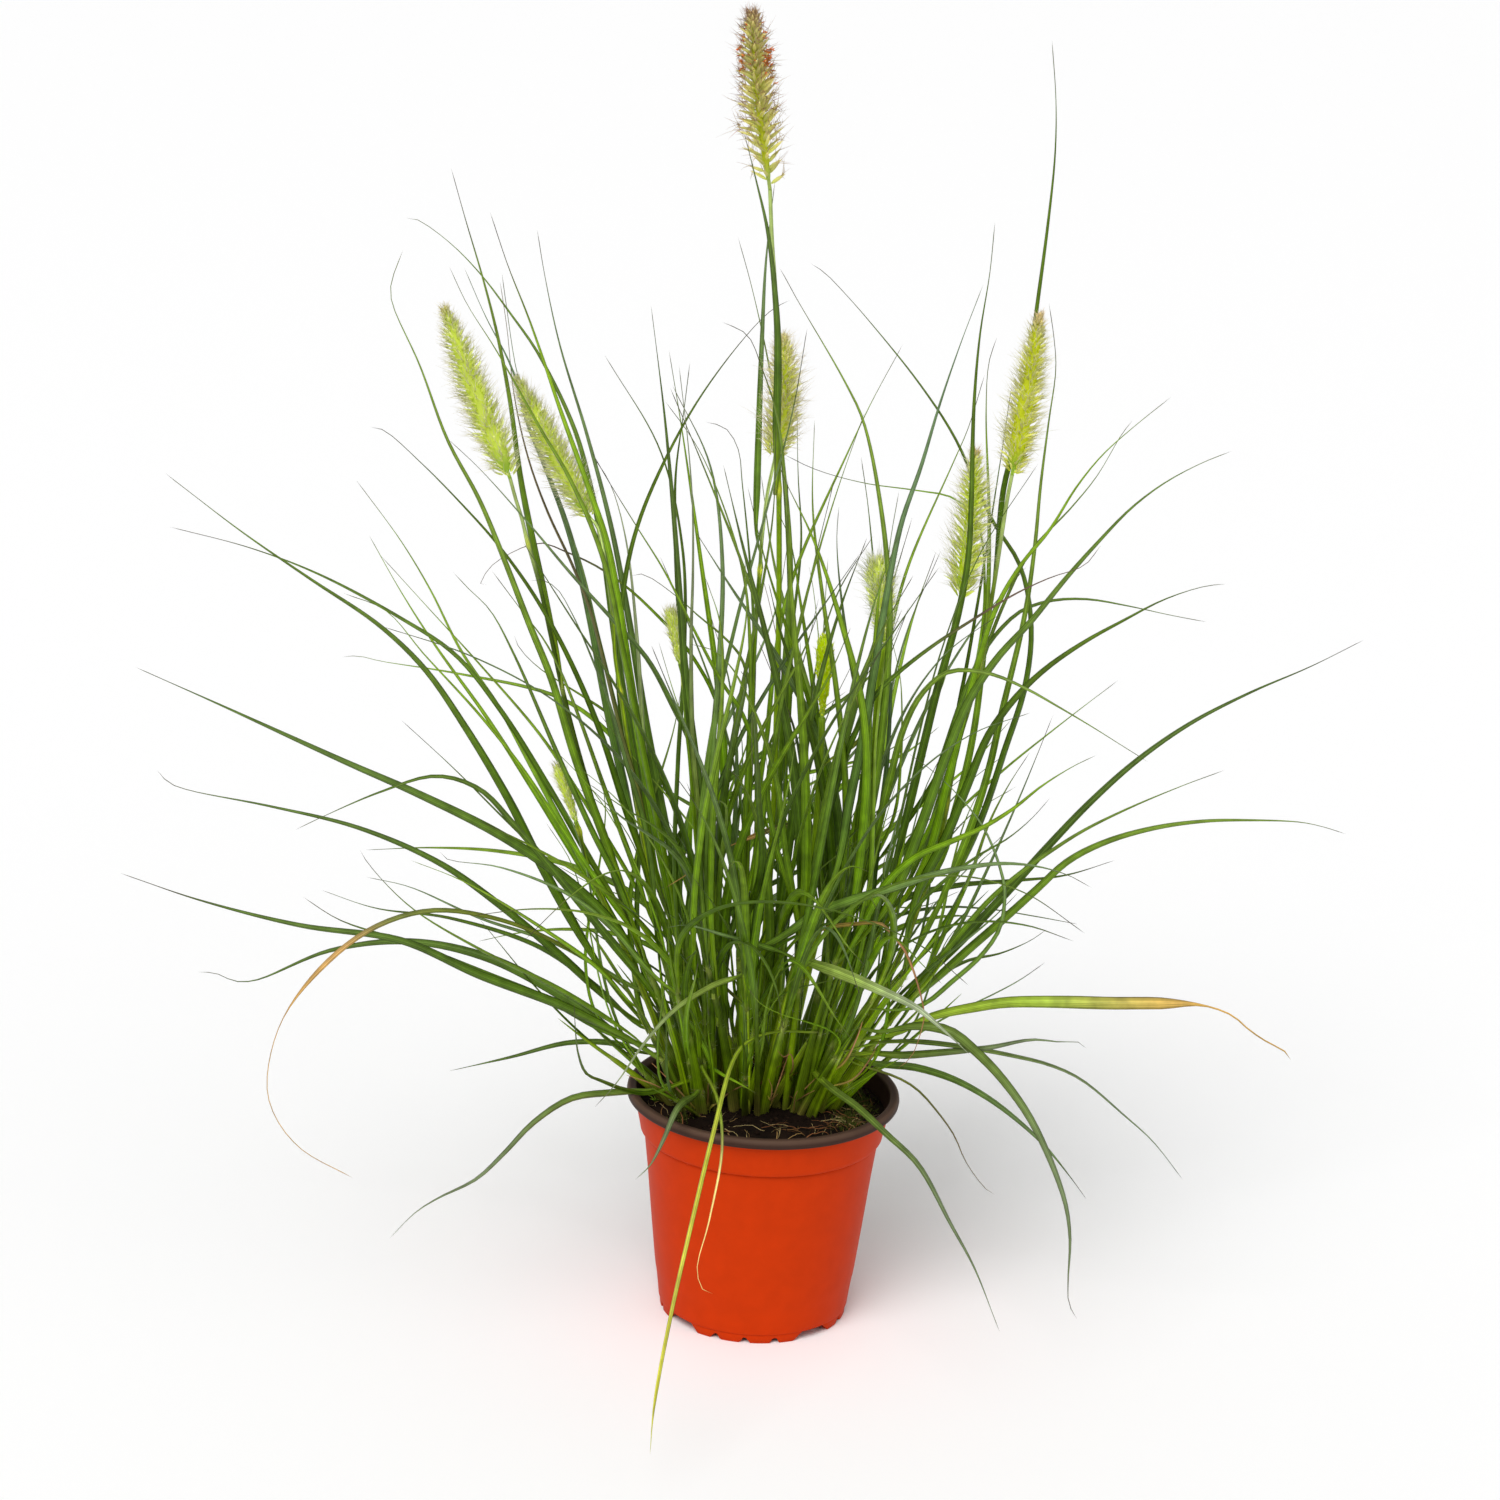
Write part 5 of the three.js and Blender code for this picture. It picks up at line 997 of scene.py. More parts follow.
class Skin:
    """Closed surfaces gathered into one mesh, with a colour and a grain coordinate at each corner."""

    def __init__(self):
        self.corners = []
        self.tones = []
        self.grain = []
        self.faces = []
        self.count = 0

    def add(self, corners, tones, grain):
        """Corners with their colours and grain coordinates, numbered on from those before."""
        self.corners.append(corners)
        self.tones.append(tones)
        self.grain.append(grain)
        self.count += len(corners)

    def add_rings(self, rings, tones, grain, tip=None):
        """A skin over closed rings of corners, capped at its start, and at its end or drawn to a tip."""
        steps, sides = rings.shape[:2]
        index = self.count + np.arange(steps * sides).reshape(steps, sides)
        tones = np.broadcast_to(tones, rings.shape)
        grain = np.broadcast_to(grain, (steps, sides, 2))
        self.add(rings.reshape(-1, 3), tones.reshape(-1, 3), grain.reshape(-1, 2))
        self.faces.append(ring_quads(index))
        end = rings[-1].mean(axis=0) if tip is None else tip
        for middle, edge, at in ((rings[0].mean(axis=0), index[0][::-1], 0), (end, index[-1], -1)):
            self.faces.append(np.stack([edge, np.roll(edge, -1), np.full(sides, self.count)], axis=-1))
            self.add(middle[None], tones[at].mean(axis=0)[None], grain[at].mean(axis=0)[None])

    def add_solid(self, corners, faces, tone):
        """A ready-made closed solid in one tone."""
        self.faces.append(np.asarray(faces) + self.count)
        self.add(corners, np.broadcast_to(tone, corners.shape), corners[:, :2])

    def make(self, name, material, slot, *nodes):
        """The mesh object: it rides on the one body and stands for its nodes."""
        mesh = bpy.data.meshes.new(name)
        loops = np.concatenate([faces.ravel() for faces in self.faces])
        sizes = np.concatenate([np.full(len(faces), faces.shape[1]) for faces in self.faces])
        mesh.vertices.add(self.count)
        mesh.vertices.foreach_set("co", (np.vstack(self.corners) * MM).ravel())
        mesh.loops.add(len(loops))
        mesh.loops.foreach_set("vertex_index", loops)
        mesh.polygons.add(len(sizes))
        mesh.polygons.foreach_set("loop_start", np.concatenate([[0], np.cumsum(sizes)[:-1]]))
        mesh.update(calc_edges=True)
        mesh.polygons.foreach_set("use_smooth", np.ones(len(sizes), dtype=bool))
        tones = np.hstack([np.vstack(self.tones), np.ones((self.count, 1))])
        mesh.color_attributes.new("tone", "FLOAT_COLOR", "POINT").data.foreach_set("color", tones.ravel())
        mesh.uv_layers.new(name="grain").data.foreach_set("uv", np.vstack(self.grain)[loops].ravel())
        mesh.materials.append(material)
        obj = bpy.data.objects.new(name, mesh)
        bpy.context.scene.collection.objects.link(obj)
        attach(obj, "root")
        if nodes:
            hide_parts(*nodes)


def add_tube(skin, line, radii, tones, sides=8, flatten=1.0, turn=0.0):
    """A round or flattened tube on a line, its wide side turned from the front by an angle."""
    tangents = unit(np.gradient(line, axis=0))
    first = unit(np.cross([0, 1, 0], tangents))
    second = np.cross(tangents, first)
    across = first * math.cos(turn) + second * math.sin(turn)
    normal = second * math.cos(turn) - first * math.sin(turn)
    turns = np.linspace(0, 2 * math.pi, sides, endpoint=False)
    flats = np.broadcast_to(flatten, len(line))[:, None, None]
    wide = np.cos(turns)[None, :, None] * across[:, None] * flats
    deep = np.sin(turns)[None, :, None] * normal[:, None] / flats
    rings = line[:, None] + (wide + deep) * np.asarray(radii)[:, None, None]
    around = np.minimum(turns, 2 * math.pi - turns)
    grain = np.empty(rings.shape[:2] + (2,))
    grain[..., 0] = around[None] * np.asarray(radii)[:, None]
    grain[..., 1] = travel(line)[:, None]
    tones = np.asarray(tones)
    skin.add_rings(rings, tones if tones.ndim == 3 else tones[:, None], grain)


def blade_half_widths(shares, widest, broad=0.2, thread=None):
    """Half the width along a blade: narrow at the sheath, broad further out, then a long fine tip, or a
    thread from the share where a dried tip begins."""
    base = 0.5 + 0.5 * np.minimum(shares / broad, 1)
    tip = (1 - shares**1.7) ** 1.1
    if thread:
        tip = 1 - 0.84 * smooth_step((shares - thread) / 0.12)
    return np.maximum(widest / 2 * base * tip, FINEST_HALF_WIDTH)


def blade_frame(course, blade, shares):
    """The directions across a blade and out of its upper face, and the side that it folds to."""
    tangents = unit(np.gradient(course, axis=0))
    across = np.cross(blade["facing"], tangents)
    for i in range(1, len(across)):
        if across[i] @ across[i - 1] < 0:
            across[i] *= -1
    window = np.hanning(SMOOTHING)
    padded = np.pad(across, ((SMOOTHING // 2, SMOOTHING // 2), (0, 0)), mode="edge")
    across = np.stack([np.convolve(padded[:, axis], window, "valid") for axis in range(3)], axis=1)
    across = unit(across - (across * tangents).sum(axis=1, keepdims=True) * tangents)
    normal = np.cross(tangents, across)
    turn = blade["roll"] + blade["twist"] * shares
    leave = course[len(course) // 6] - course[0]
    leave = leave - leave @ tangents[0] * tangents[0]
    clasp = math.atan2(-leave @ across[0], -leave @ normal[0])
    side = 1.0
    start = -clasp - turn[0]
    start = (start + math.pi) % (2 * math.pi) - math.pi
    if abs(start) > math.pi / 2:
        side = -1.0
        start -= math.copysign(math.pi, start)
    turn = turn + start * (1 - smooth_step(shares / 0.22))
    cos, sin = np.cos(turn)[:, None], np.sin(turn)[:, None]
    return across * cos + normal * sin, (normal * cos - across * sin) * side


def blade_sections(shares, half_widths, stem_radius, points_across, fold):
    """The middle line of each cross-section, as offsets across the blade and out of its upper face."""
    t = np.linspace(-1, 1, points_across)[None, :]
    folds = (fold + 0.25 * (1 - smooth_step(shares / 0.3)) + 0.3 * smooth_step((shares - 0.7) / 0.3))[:, None]
    half = half_widths[:, None]
    open_x = half * t * np.cos(folds)
    open_y = half * (np.sqrt(t * t + 0.02) - 0.14) * np.sin(folds)
    radius = stem_radius + CLASP_GAP
    angle = np.minimum(half / radius, CLASP_TURN) * t
    clasp_x = radius * np.sin(angle)
    clasp_y = -radius * np.cos(angle)
    clasped = (1 - smooth_step(shares / 0.09))[:, None]
    return lerp(open_x, clasp_x, clasped), lerp(open_y, clasp_y, clasped)


def add_blade(skin, blade, stem_radius, rng):
    """One blade: a thin closed skin, clasping its stem at the root and folded along its midrib."""
    span = step_lengths(blade["points"]).sum()
    steps = int(np.clip(span / SEGMENT_LENGTH, FEWEST_SEGMENTS, MOST_SEGMENTS))
    course = smooth_course(blade["points"], steps)
    shares = np.linspace(0, 1, steps + 1)
    across, normal = blade_frame(course, blade, shares)
    tip = course[-1]
    course, across, normal, shares = course[:-1], across[:-1], normal[:-1], shares[:-1]
    points_across = 7 if blade["width"] > NARROW_BLADE else 5
    half_widths = blade_half_widths(shares, blade["width"], *LOOKS[blade["look"]]["shape"])
    x, y = blade_sections(shares, half_widths, stem_radius, points_across, rng.uniform(0.3, 0.7))
    slope = np.arctan2(np.gradient(y, axis=1), np.gradient(x, axis=1))
    t = np.linspace(-1, 1, points_across)
    rib = RIB_THICKNESS * np.exp(-((t / RIB_WIDTH) ** 2))
    thick = (EDGE_THICKNESS + BODY_THICKNESS * (1 - t**2) + rib)[None] * (1 - 0.5 * shares)[:, None]
    upper_x = x - thick * np.sin(slope) * UPPER_BULGE
    upper_y = y + thick * np.cos(slope) * UPPER_BULGE
    lower_x = x + thick * np.sin(slope)
    lower_y = y - thick * np.cos(slope)
    ring_x = np.hstack([upper_x, lower_x[:, -2:0:-1]])
    ring_y = np.hstack([upper_y, lower_y[:, -2:0:-1]])
    rings = course[:, None] + ring_x[..., None] * across[:, None] + ring_y[..., None] * normal[:, None]
    faces = np.concatenate([np.full(points_across, UPPER_SHADE), np.full(points_across - 2, LOWER_SHADE)])
    faces[points_across // 2] = RIB_SHADE
    faces[points_across + points_across // 2 - 1] = RIB_SHADE
    if np.cross(across[0], normal[0]) @ (course[1] - course[0]) > 0:
        rings, ring_x, faces = rings[:, ::-1], ring_x[:, ::-1], faces[::-1]
    grain = np.stack([ring_x, np.broadcast_to(shares[:, None] * span, ring_x.shape)], axis=-1)
    tones = blade_tones(blade, shares, rng)[:, None] * faces[None, :, None]
    skin.add_rings(rings, tones, grain, tip)


def blade_tones(blade, shares, rng):
    """Colours along a blade: the sheath's bright green, then the leaf's green, then the tip's brown."""
    look = LOOKS[blade["look"]]
    green = look["green"]
    if green is None:
        green = LEAF_GREENS[rng.integers(len(LEAF_GREENS))]
    green = green * rng.uniform(0.86, 1.12)
    root = lerp(SHEATH_GREENS[rng.integers(len(SHEATH_GREENS))], green, 0.35)
    tones = lerp(root, green, smooth_step((shares - 0.02) / 0.22)[:, None])
    # Towards the stem a blade is yellower and darker; the darkening is painted shade inside the clump
    tones = tones * lerp(INNER_TINT_AND_SHADE, OUTER_TINT, smooth_step((shares - 0.28) / 0.45)[:, None])
    start = look["start"] + rng.uniform(-0.05, 0.05)
    tip = look["tip"] * rng.uniform(0.85, 1.1)
    tones = lerp(tones, tip, smooth_step((shares - start) / (look["end"] - look["start"]))[:, None])
    collar = np.exp(-((shares / 0.012) ** 2))[:, None]
    return lerp(tones, COLLAR_PALE, 0.8 * collar)


def with_spear(points, rng):
    """A leafy stem's points and one more, at the tip of its rolled youngest leaf."""
    spear = points[-1] + unit(points[-1] - points[-2]) * rng.uniform(*SPEAR_LENGTHS) + rng.uniform(-4, 4, 3)
    return np.vstack([points, spear])


def stem_tones(shares, whole, rng):
    """Colours up a stem: a dry foot, the sheath's bright green, then more and more of the leaf's green."""
    green = SHEATH_GREENS[rng.integers(len(SHEATH_GREENS))] * rng.uniform(0.45, 1.3)
    upper = LEAF_GREENS[rng.integers(len(LEAF_GREENS))]
    tones = lerp(green, lerp(green, upper, 0.6), smooth_step((shares - 0.4) / 0.6)[:, None])
    foot = SHEATH_FOOT * rng.uniform(0.4, 1.4)
    return lerp(foot, tones, smooth_step(shares * whole / rng.uniform(16, 44))[:, None])


def add_stem(skin, stem, rng):
    """A stem in its layers of sheath: each ends in a collar where its blade leaves."""
    is_shoot = stem["top"] is None
    points = with_spear(stem["points"], rng) if is_shoot else stem["points"]
    steps = SHOOT_STEPS if is_shoot else CULM_STEPS
    line = smooth_course(points, steps)
    travelled = np.linspace(0, 1, steps + 1)
    whole = step_lengths(stem["line"]).sum()
    shares = travelled * step_lengths(line).sum() / whole
    collars = [arc_share(stem["line"], blade["share"]) for blade in stem["blades"]]
    layers = sum((smooth_step((share - shares) / 0.01 + 0.5) for share in collars), np.zeros(len(shares)))
    if is_shoot:
        radii = lerp(*SHOOT_RADII, np.minimum(shares, 1)) + SHOOT_LAYER * layers
        spike = np.clip((travelled - 1 / shares[-1]) / (1 - 1 / shares[-1]), 0, 1)
        radii = radii * (1 - spike) ** 0.7 + SPEAR_RADIUS
    else:
        bare = lerp(STEM_FOOT_RADIUS - 0.3, stem["top"], np.minimum(shares, 1) ** 0.8)
        radii = bare + CULM_LAYER * layers
    tones = stem_tones(shares, whole, rng)
    if not is_shoot and stem["top"] < WIDEST_STALK:
        tones = lerp(tones, STALK_PALE, 0.85 * smooth_step((shares - 0.82) / 0.1)[:, None])
    for share in collars:
        tones = lerp(tones, COLLAR_PALE, 0.6 * np.exp(-(((shares - share) * whole / 1.5) ** 2))[:, None])
    for share in stem["knots"]:
        near = np.exp(-(((shares - arc_share(points, share)) * whole / 2.6) ** 2))
        radii = radii * (1 + 0.4 * near)
        tones = lerp(tones, NODE_YELLOW, near[:, None])
    flat = 1 + 0.42 * (1 - smooth_step(shares * whole / 90)) if is_shoot else 1.0
    # The sheath's seam is painted light: a bright line next to a dark one, and a darker line on the far side
    seam = rng.integers(STEM_SIDES)
    around = np.ones(STEM_SIDES)
    around[[seam, seam - 1, (seam + STEM_SIDES // 2) % STEM_SIDES]] = SEAM_PAINTED_LIGHT_AND_SHADE
    add_tube(skin, line, radii, tones[:, None] * around[:, None], STEM_SIDES, flat, rng.normal(0, 0.5))
    for blade in stem["blades"]:
        share = arc_share(stem["line"], blade["share"])
        radius = float(np.interp(share, shares, radii))
        add_blade(skin, blade, radius, rng)
        add_collar_hairs(skin, blade, radius, rng)


def add_collar_hairs(skin, blade, radius, rng):
    """The fine pale hairs where a blade leaves its sheath."""
    root = blade["points"][0]
    along = unit(blade["points"][1] - root)
    around = unit(rng.normal(0, 1, (COLLAR_HAIRS, 3)))
    around = unit(around - (around @ along)[:, None] * along)
    bases = root + around * (radius + 0.1) + along * rng.uniform(-0.8, 1.2, (COLLAR_HAIRS, 1))
    aims = unit(around + along * rng.uniform(0.1, 1.6, (COLLAR_HAIRS, 1)))
    bends = rng.normal(0, 0.2, (COLLAR_HAIRS, 3))
    lengths = rng.uniform(*COLLAR_HAIR_LENGTHS, COLLAR_HAIRS)
    add_spikes(skin, bases, aims, bends, lengths, COLLAR_HAIR_RADIUS, HAIR_PALE, HAIR_PALE, HAIR)


def side_shoot(stem, rng):
    """A short young shoot at a stem's foot, with one or two small leaves."""
    foot = stem["line"][0]
    turn = rng.uniform(0, 2 * math.pi)
    near = foot + rng.uniform(*SIDE_PLACES) * outward(turn)
    near[2] = soil_height(math.hypot(*near[:2])) - 4
    lean = unit(stem["line"][1] - foot) + 0.06 * (near - foot) * (1, 1, 0)
    splay = 0.07 if rng.random() < 0.75 else 0.28
    lean[:2] += rng.normal(0, 0.05, 2) + splay * (near[:2] - CLUMP_MIDDLE) / 25
    length = rng.uniform(*SIDE_LENGTHS)
    bend = lean * (0.15, 0.15, 0)
    t = np.linspace(0, 1, SHEATH_STEPS + 1)[:, None]
    line = near + (unit(lean) * t + bend * t * t) * length
    shoot = new_stem(line, line)
    for share in rng.uniform(0.6, 0.93, rng.integers(1, 3)):
        away = math.atan2(near[1] - CLUMP_MIDDLE[1], near[0] - CLUMP_MIDDLE[0]) + rng.normal(0, 0.7)
        out = outward(away)
        tip = point_on(line, share) + out * rng.uniform(15, 110) + np.array([0, 0, rng.uniform(60, 210)])
        points = arch(line, share, out, tip, rng.uniform(0.4, 2))
        width = rng.uniform(*SIDE_WIDTHS)
        roll = rng.uniform(-0.5, 0.5)
        twist = rng.uniform(-0.8, 0.8)
        shoot["blades"].append(new_blade(points, width, facing_up(out), roll, twist, share=share))
    return shoot


def make_leafy_stems(plant, material):
    """Each stem of the part with its blades, and the young shoots beside its foot."""
    for number, (name, stem) in enumerate(plant.stems.items()):
        rng = np.random.default_rng(STEM_SEEDS + number)
        skin = Skin()
        add_stem(skin, stem, rng)
        for _ in range(SIDE_SHOOTS):
            add_stem(skin, side_shoot(stem, rng), rng)
        skin.make(f"{name}_leaves", material, "leaf", name)


def add_spikes(
    skin, bases, directions, bends, lengths, radii, tones, tip_tones, profile=BRISTLE, sides=3, flat=1.0
):
    """Many pointed bodies at once, which serve as bristles, husks, hairs and moss. Each leaves its base in a
    direction, bends, swells as its profile says and ends in a point."""
    count = len(bases)
    places, swell = np.array(profile).T
    t = np.append(places, 1.0)[None, :, None]
    reach = np.broadcast_to(lengths, count)[:, None, None]
    lines = bases[:, None] + (directions[:, None] * t + bends[:, None] * t * t) * reach
    tangents = unit(directions[:, None] + 2 * bends[:, None] * t)
    across = unit(np.cross(tangents, unit(directions + ASKEW)[:, None]))
    normal = np.cross(tangents, across) * flat
    turns = np.linspace(0, 2 * math.pi, sides, endpoint=False)[:, None]
    circle = np.cos(turns) * across[:, :-1, None] + np.sin(turns) * normal[:, :-1, None]
    thick = np.broadcast_to(radii, count)[:, None] * swell
    rings = lines[:, :-1, None] + circle * thick[:, :, None, None]
    root_tones, end_tones = (np.broadcast_to(tone, (count, 3))[:, None] for tone in (tones, tip_tones))
    all_tones = lerp(root_tones, end_tones, t)
    ring_tones = np.repeat(all_tones[:, :-1], sides, axis=1)
    each = len(places) * sides + 2
    index = np.arange(each - 2).reshape(-1, sides)
    root = np.stack([np.roll(index[0], -1), index[0], np.full(sides, each - 2)], axis=-1)
    tip = np.stack([index[-1], np.roll(index[-1], -1), np.full(sides, each - 1)], axis=-1)
    starts = skin.count + each * np.arange(count)[:, None, None]
    for faces in (ring_quads(index), root, tip):
        skin.faces.append((faces[None] + starts).reshape(-1, faces.shape[1]))
    corners = np.concatenate([rings.reshape(count, -1, 3), lines[:, :1], lines[:, -1:]], axis=1)
    corners = corners.reshape(-1, 3)
    corner_tones = np.concatenate([ring_tones, all_tones[:, :1], all_tones[:, -1:]], axis=1)
    skin.add(corners, corner_tones.reshape(-1, 3), corners[:, :2])


def head_fullness(shares, style):
    """How far a head reaches at a share of its length, as a bottle brush or, in its sheath, a paint brush."""
    if style["brush"]:
        return style["girth"] * lerp(style["foot"], 1, shares) * np.sqrt(1 - shares ** style["blunt"])
    return style["girth"] * np.minimum(1, 0.6 + 2 * shares) * (1 - shares**2.4) ** 0.6


def make_head(number, culm, material):
    """A flower head: its stalk and body, pointed husks in a spiral, and the bristles round each husk."""
    rng = np.random.default_rng(HEAD_SEEDS + number)
    style = HEAD_STYLES[HEAD_KINDS[number]]
    points = np.array([sight_point(u, v, culm["depth"]) for u, v in culm["head"]])[::-1]
    axis = smooth_course(points, HEAD_STEPS)[: round(HEAD_STEPS * style["top"]) + 1]
    along = np.linspace(0, 1, len(axis))
    body = style["core"] * culm["radius"] * head_fullness(along, style) * smooth_step(along / 0.1)
    radii = np.maximum(lerp(1.1, 0.4, along), body)
    tones = lerp(style["stalk"], style["body"], smooth_step((along - 0.04) / 0.16)[:, None])
    skin = Skin()
    add_tube(skin, axis, radii, tones, sides=12)
    husks = add_husks(skin, axis, culm["radius"], style, rng)
    add_bristles(skin, culm["radius"], style, husks, rng)
    if style["anthers"]:
        add_stamens(skin, style, husks, rng)
    skin.make(f"head_{number + 1}_bristles", material, "flower", f"head_{number + 1}")


def add_husks(skin, axis, radius, style, rng):
    """The husks of a head in a spiral up its axis, and what its bristles and flowers need to know of each."""
    count = style["husks"]
    last = len(axis) - 1
    shares = lerp(0.01, 1.0, ((np.arange(count) + 0.5) / count) ** style["crowding"])
    places = np.minimum((shares * last).astype(int), last - 1)
    roots = lerp(axis[places], axis[places + 1], (shares * last - places)[:, None])
    tangent = unit(axis[places + 1] - axis[places])
    first = unit(np.cross([0, 1, 0], tangent))
    second = np.cross(tangent, first)
    turns = (np.arange(count) * GOLDEN_ANGLE + rng.uniform(-0.3, 0.3, count))[:, None]
    out = first * np.cos(turns) + second * np.sin(turns)
    full = head_fullness(shares, style)
    rise = np.radians(style["rise"]) + 0.5 * smooth_step((shares - 0.75) / 0.25)
    rise = np.minimum(rise + rng.uniform(-0.2, 0.2, count), STEEPEST_HUSK)[:, None]
    aim = out * np.cos(rise) + tangent * np.sin(rise)
    scale = radius / USUAL_HEAD_RADIUS
    lengths = style["husk length"] * scale * (0.4 + 0.6 * full) * rng.uniform(0.85, 1.15, count)
    bases = roots + out * (style["core"] * radius * full * rng.uniform(0.7, 1.0, count))[:, None]
    crown = smooth_step((shares - style["crown from"]) / (1.02 - style["crown from"]))[:, None]
    shade = rng.uniform(0.85, 1.15, (count, 1))
    tones = lerp(style["husk"], style["crown"], 0.4 * crown) * shade
    tip_tones = lerp(style["husk tip"], style["crown"], 0.7 * crown) * shade
    bends = 0.12 * out + rng.normal(0, 0.08, (count, 3))
    add_spikes(skin, bases, aim, bends, lengths, style["husk width"] / 2, tones, tip_tones, HUSK, 5, 0.6)
    return {
        "share": shares, "base": bases, "aim": aim, "length": lengths,
        "out": out, "tangent": tangent, "full": full, "crown": crown,
    }


def add_bristles(skin, radius, style, husks, rng):
    """The bristles that stand round each husk of a head."""
    owner = np.repeat(np.arange(style["husks"]), style["bristles"])
    count = len(owner)
    husk = {key: values[owner] for key, values in husks.items()}
    aim = unit(husk["aim"] + rng.normal(0, style["spread"], (count, 3)) + 0.15 * husk["out"])
    out = rng.uniform(*style["bristles from"], count) * husk["length"]
    bases = husk["base"] + husk["aim"] * out[:, None]
    scale = radius / USUAL_HEAD_RADIUS
    lengths = style["bristle length"] * scale * (0.3 + 0.7 * husk["full"]) * rng.uniform(0.7, 1.15, count)
    lift = style["lift"] * rng.uniform(-0.4, 1.4, (count, 1))
    bends = husk["tangent"] * lift + rng.normal(0, style["curl"], (count, 3))
    tones = lerp(style["bristle"], style["crown"], 0.4 * husk["crown"]) * rng.uniform(0.8, 1.1, (count, 1))
    tip_tones = lerp(style["bristle tip"], style["crown"], husk["crown"]) * rng.uniform(0.8, 1.1, (count, 1))
    radii = style["bristle radius"] * rng.uniform(0.8, 1.2, count)
    add_spikes(skin, bases, aim, bends, lengths, radii, tones, tip_tones)


def add_stamens(skin, style, husks, rng):
    """What hangs from the open flowers of a ripe head: orange anthers and curled dark stigmas."""
    shares = husks["share"]
    out = husks["out"]
    ends = husks["base"] + husks["aim"] * husks["length"][:, None]
    lower_cluster = np.exp(-(((shares - 0.7) / 0.08) ** 2))
    upper_cluster = np.exp(-(((shares - 0.86) / 0.04) ** 2))
    odds = (0.15 + out[:, 0] ** 2) * (lower_cluster + 0.25 * upper_cluster)
    chosen = rng.choice(len(shares), style["anthers"], p=odds / odds.sum())
    several = len(chosen)
    start = ends[chosen] - out[chosen] * rng.uniform(0, 2.5, (several, 1)) + rng.normal(0, 0.5, (several, 3))
    aim = unit(out[chosen] + rng.normal(0, 0.7, (several, 3)))
    bends = rng.normal(0, 0.3, (several, 3))
    tones = ANTHER_ORANGE * rng.uniform(0.7, 1.2, (several, 1))
    add_spikes(skin, start, aim, bends, rng.uniform(1.8, 3.2, several), 0.45, tones, tones, HUSK, 4)
    open_flowers = np.flatnonzero((shares > 0.3) & (shares < 0.97))
    chosen = np.repeat(open_flowers, 2)
    several = len(chosen)
    start = ends[chosen] - out[chosen] * rng.uniform(0, 1.5, (several, 1))
    aim = unit(out[chosen] + rng.normal(0, 0.6, (several, 3)))
    bends = rng.normal(0, 0.8, (several, 3))
    tones = STIGMA_PURPLE * rng.uniform(0.6, 1.3, (several, 1))
    add_spikes(skin, start, aim, bends, rng.uniform(2, 4.5, several), 0.2, tones, tones)


def pot_rings():
    """The pot's section as (radius, height, tone), from under its floor up the wall and back down inside."""
    ring_inside = FOOT_RADIUS - FOOT_WIDTH
    outside = [
        (1, FOOT_HEIGHT), (50, FOOT_HEIGHT), (ring_inside - 0.3, FOOT_HEIGHT), (ring_inside, 5.7),
        (ring_inside, 0.5), (ring_inside + 0.3, 0), (FOOT_RADIUS - 0.5, 0), (FOOT_RADIUS, 0.5),
        (FOOT_RADIUS + 0.3, 5.6), (FOOT_RADIUS + 0.3, 5.9), (FOOT_RADIUS + 1, 6.2), (FOOT_RADIUS + 1.2, 6.8),
        (60.6, 14), (61.4, 20), (62.0, 24), (62.6, 27), (63.3, 32), (66.5, 60), (70.0, 92),
        (73.1, CREASE - 4), (73.3, CREASE - 2.2), (73.0, CREASE - 1.7), (73.1, CREASE - 1.3),
        (75.3, CREASE - 0.9), (75.8, CREASE - 0.3), (76.1, CREASE + 1.6),
        (77.9, 131), (79.5, COLLAR_TOP - 1.5), (79.8, COLLAR_TOP - 0.4),
    ]
    lip = [
        (-1.2, -6.2), (-0.3, -5.4), (0, -3.6), (-0.3, -1.9),
        (-1.2, -0.7), (-2.6, -0.1), (-4.2, -0.1), (-5.6, -1.0),
    ]
    inside = [
        (78.8, RIM_TOP - 3), (78.6, COLLAR_TOP), (76.5, 131), (74.6, CREASE + 0.7), (72.2, CREASE - 1.7),
        (66.8, 74), (61.4, 27.2), (55, FOOT_HEIGHT + WALL), (1, FOOT_HEIGHT + WALL),
    ]
    rings = [(radius, height, POT_ORANGE) for radius, height in outside]
    rings.append((79.85, COLLAR_TOP - 0.35, POT_BROWN))
    for across, up in lip:
        # Painted highlight: the lip's rounded top is lightened from the rim's brown towards a lighter brown
        lip_painted_highlight = max(0.0, 1 - abs(up + 1.2) / 1.4)
        rings.append((RIM_RADIUS + across, RIM_TOP + up, lerp(POT_BROWN, RIM_PAINTED_HIGHLIGHT, lip_painted_highlight)))
    return rings + [(radius, height, POT_BROWN) for radius, height in inside]


def foot_rise(turns):
    """How far the foot ring's edge is cut away at each angle: wide gaps with notches between them."""
    step = 2 * math.pi / FOOT_GAPS
    from_gap = np.abs((turns - FOOT_TURN + math.pi / 2 + math.pi / FOOT_GAPS + step / 2) % step - step / 2)
    rise = GAP_HEIGHT * np.clip((GAP_HALF_TURN + GAP_SLOPE_TURN - from_gap) / GAP_SLOPE_TURN, 0, 1)
    from_lobe = (turns - FOOT_TURN + math.pi / 2 + step / 2) % step - step / 2
    for notch in range(NOTCHES_A_LOBE):
        offset = np.abs(from_lobe - (notch - (NOTCHES_A_LOBE - 1) / 2) * NOTCH_STEP)
        cut = NOTCH_HEIGHT * np.clip((NOTCH_HALF_TURN + NOTCH_SLOPE_TURN - offset) / NOTCH_SLOPE_TURN, 0, 1)
        rise = np.maximum(rise, cut)
    return rise


def ring(radius, heights, turns):
    """A ring of corners round the pot's axis, at one height or at a height for each corner."""
    return np.stack([radius * np.cos(turns), radius * np.sin(turns), heights + 0.0 * turns], axis=-1)


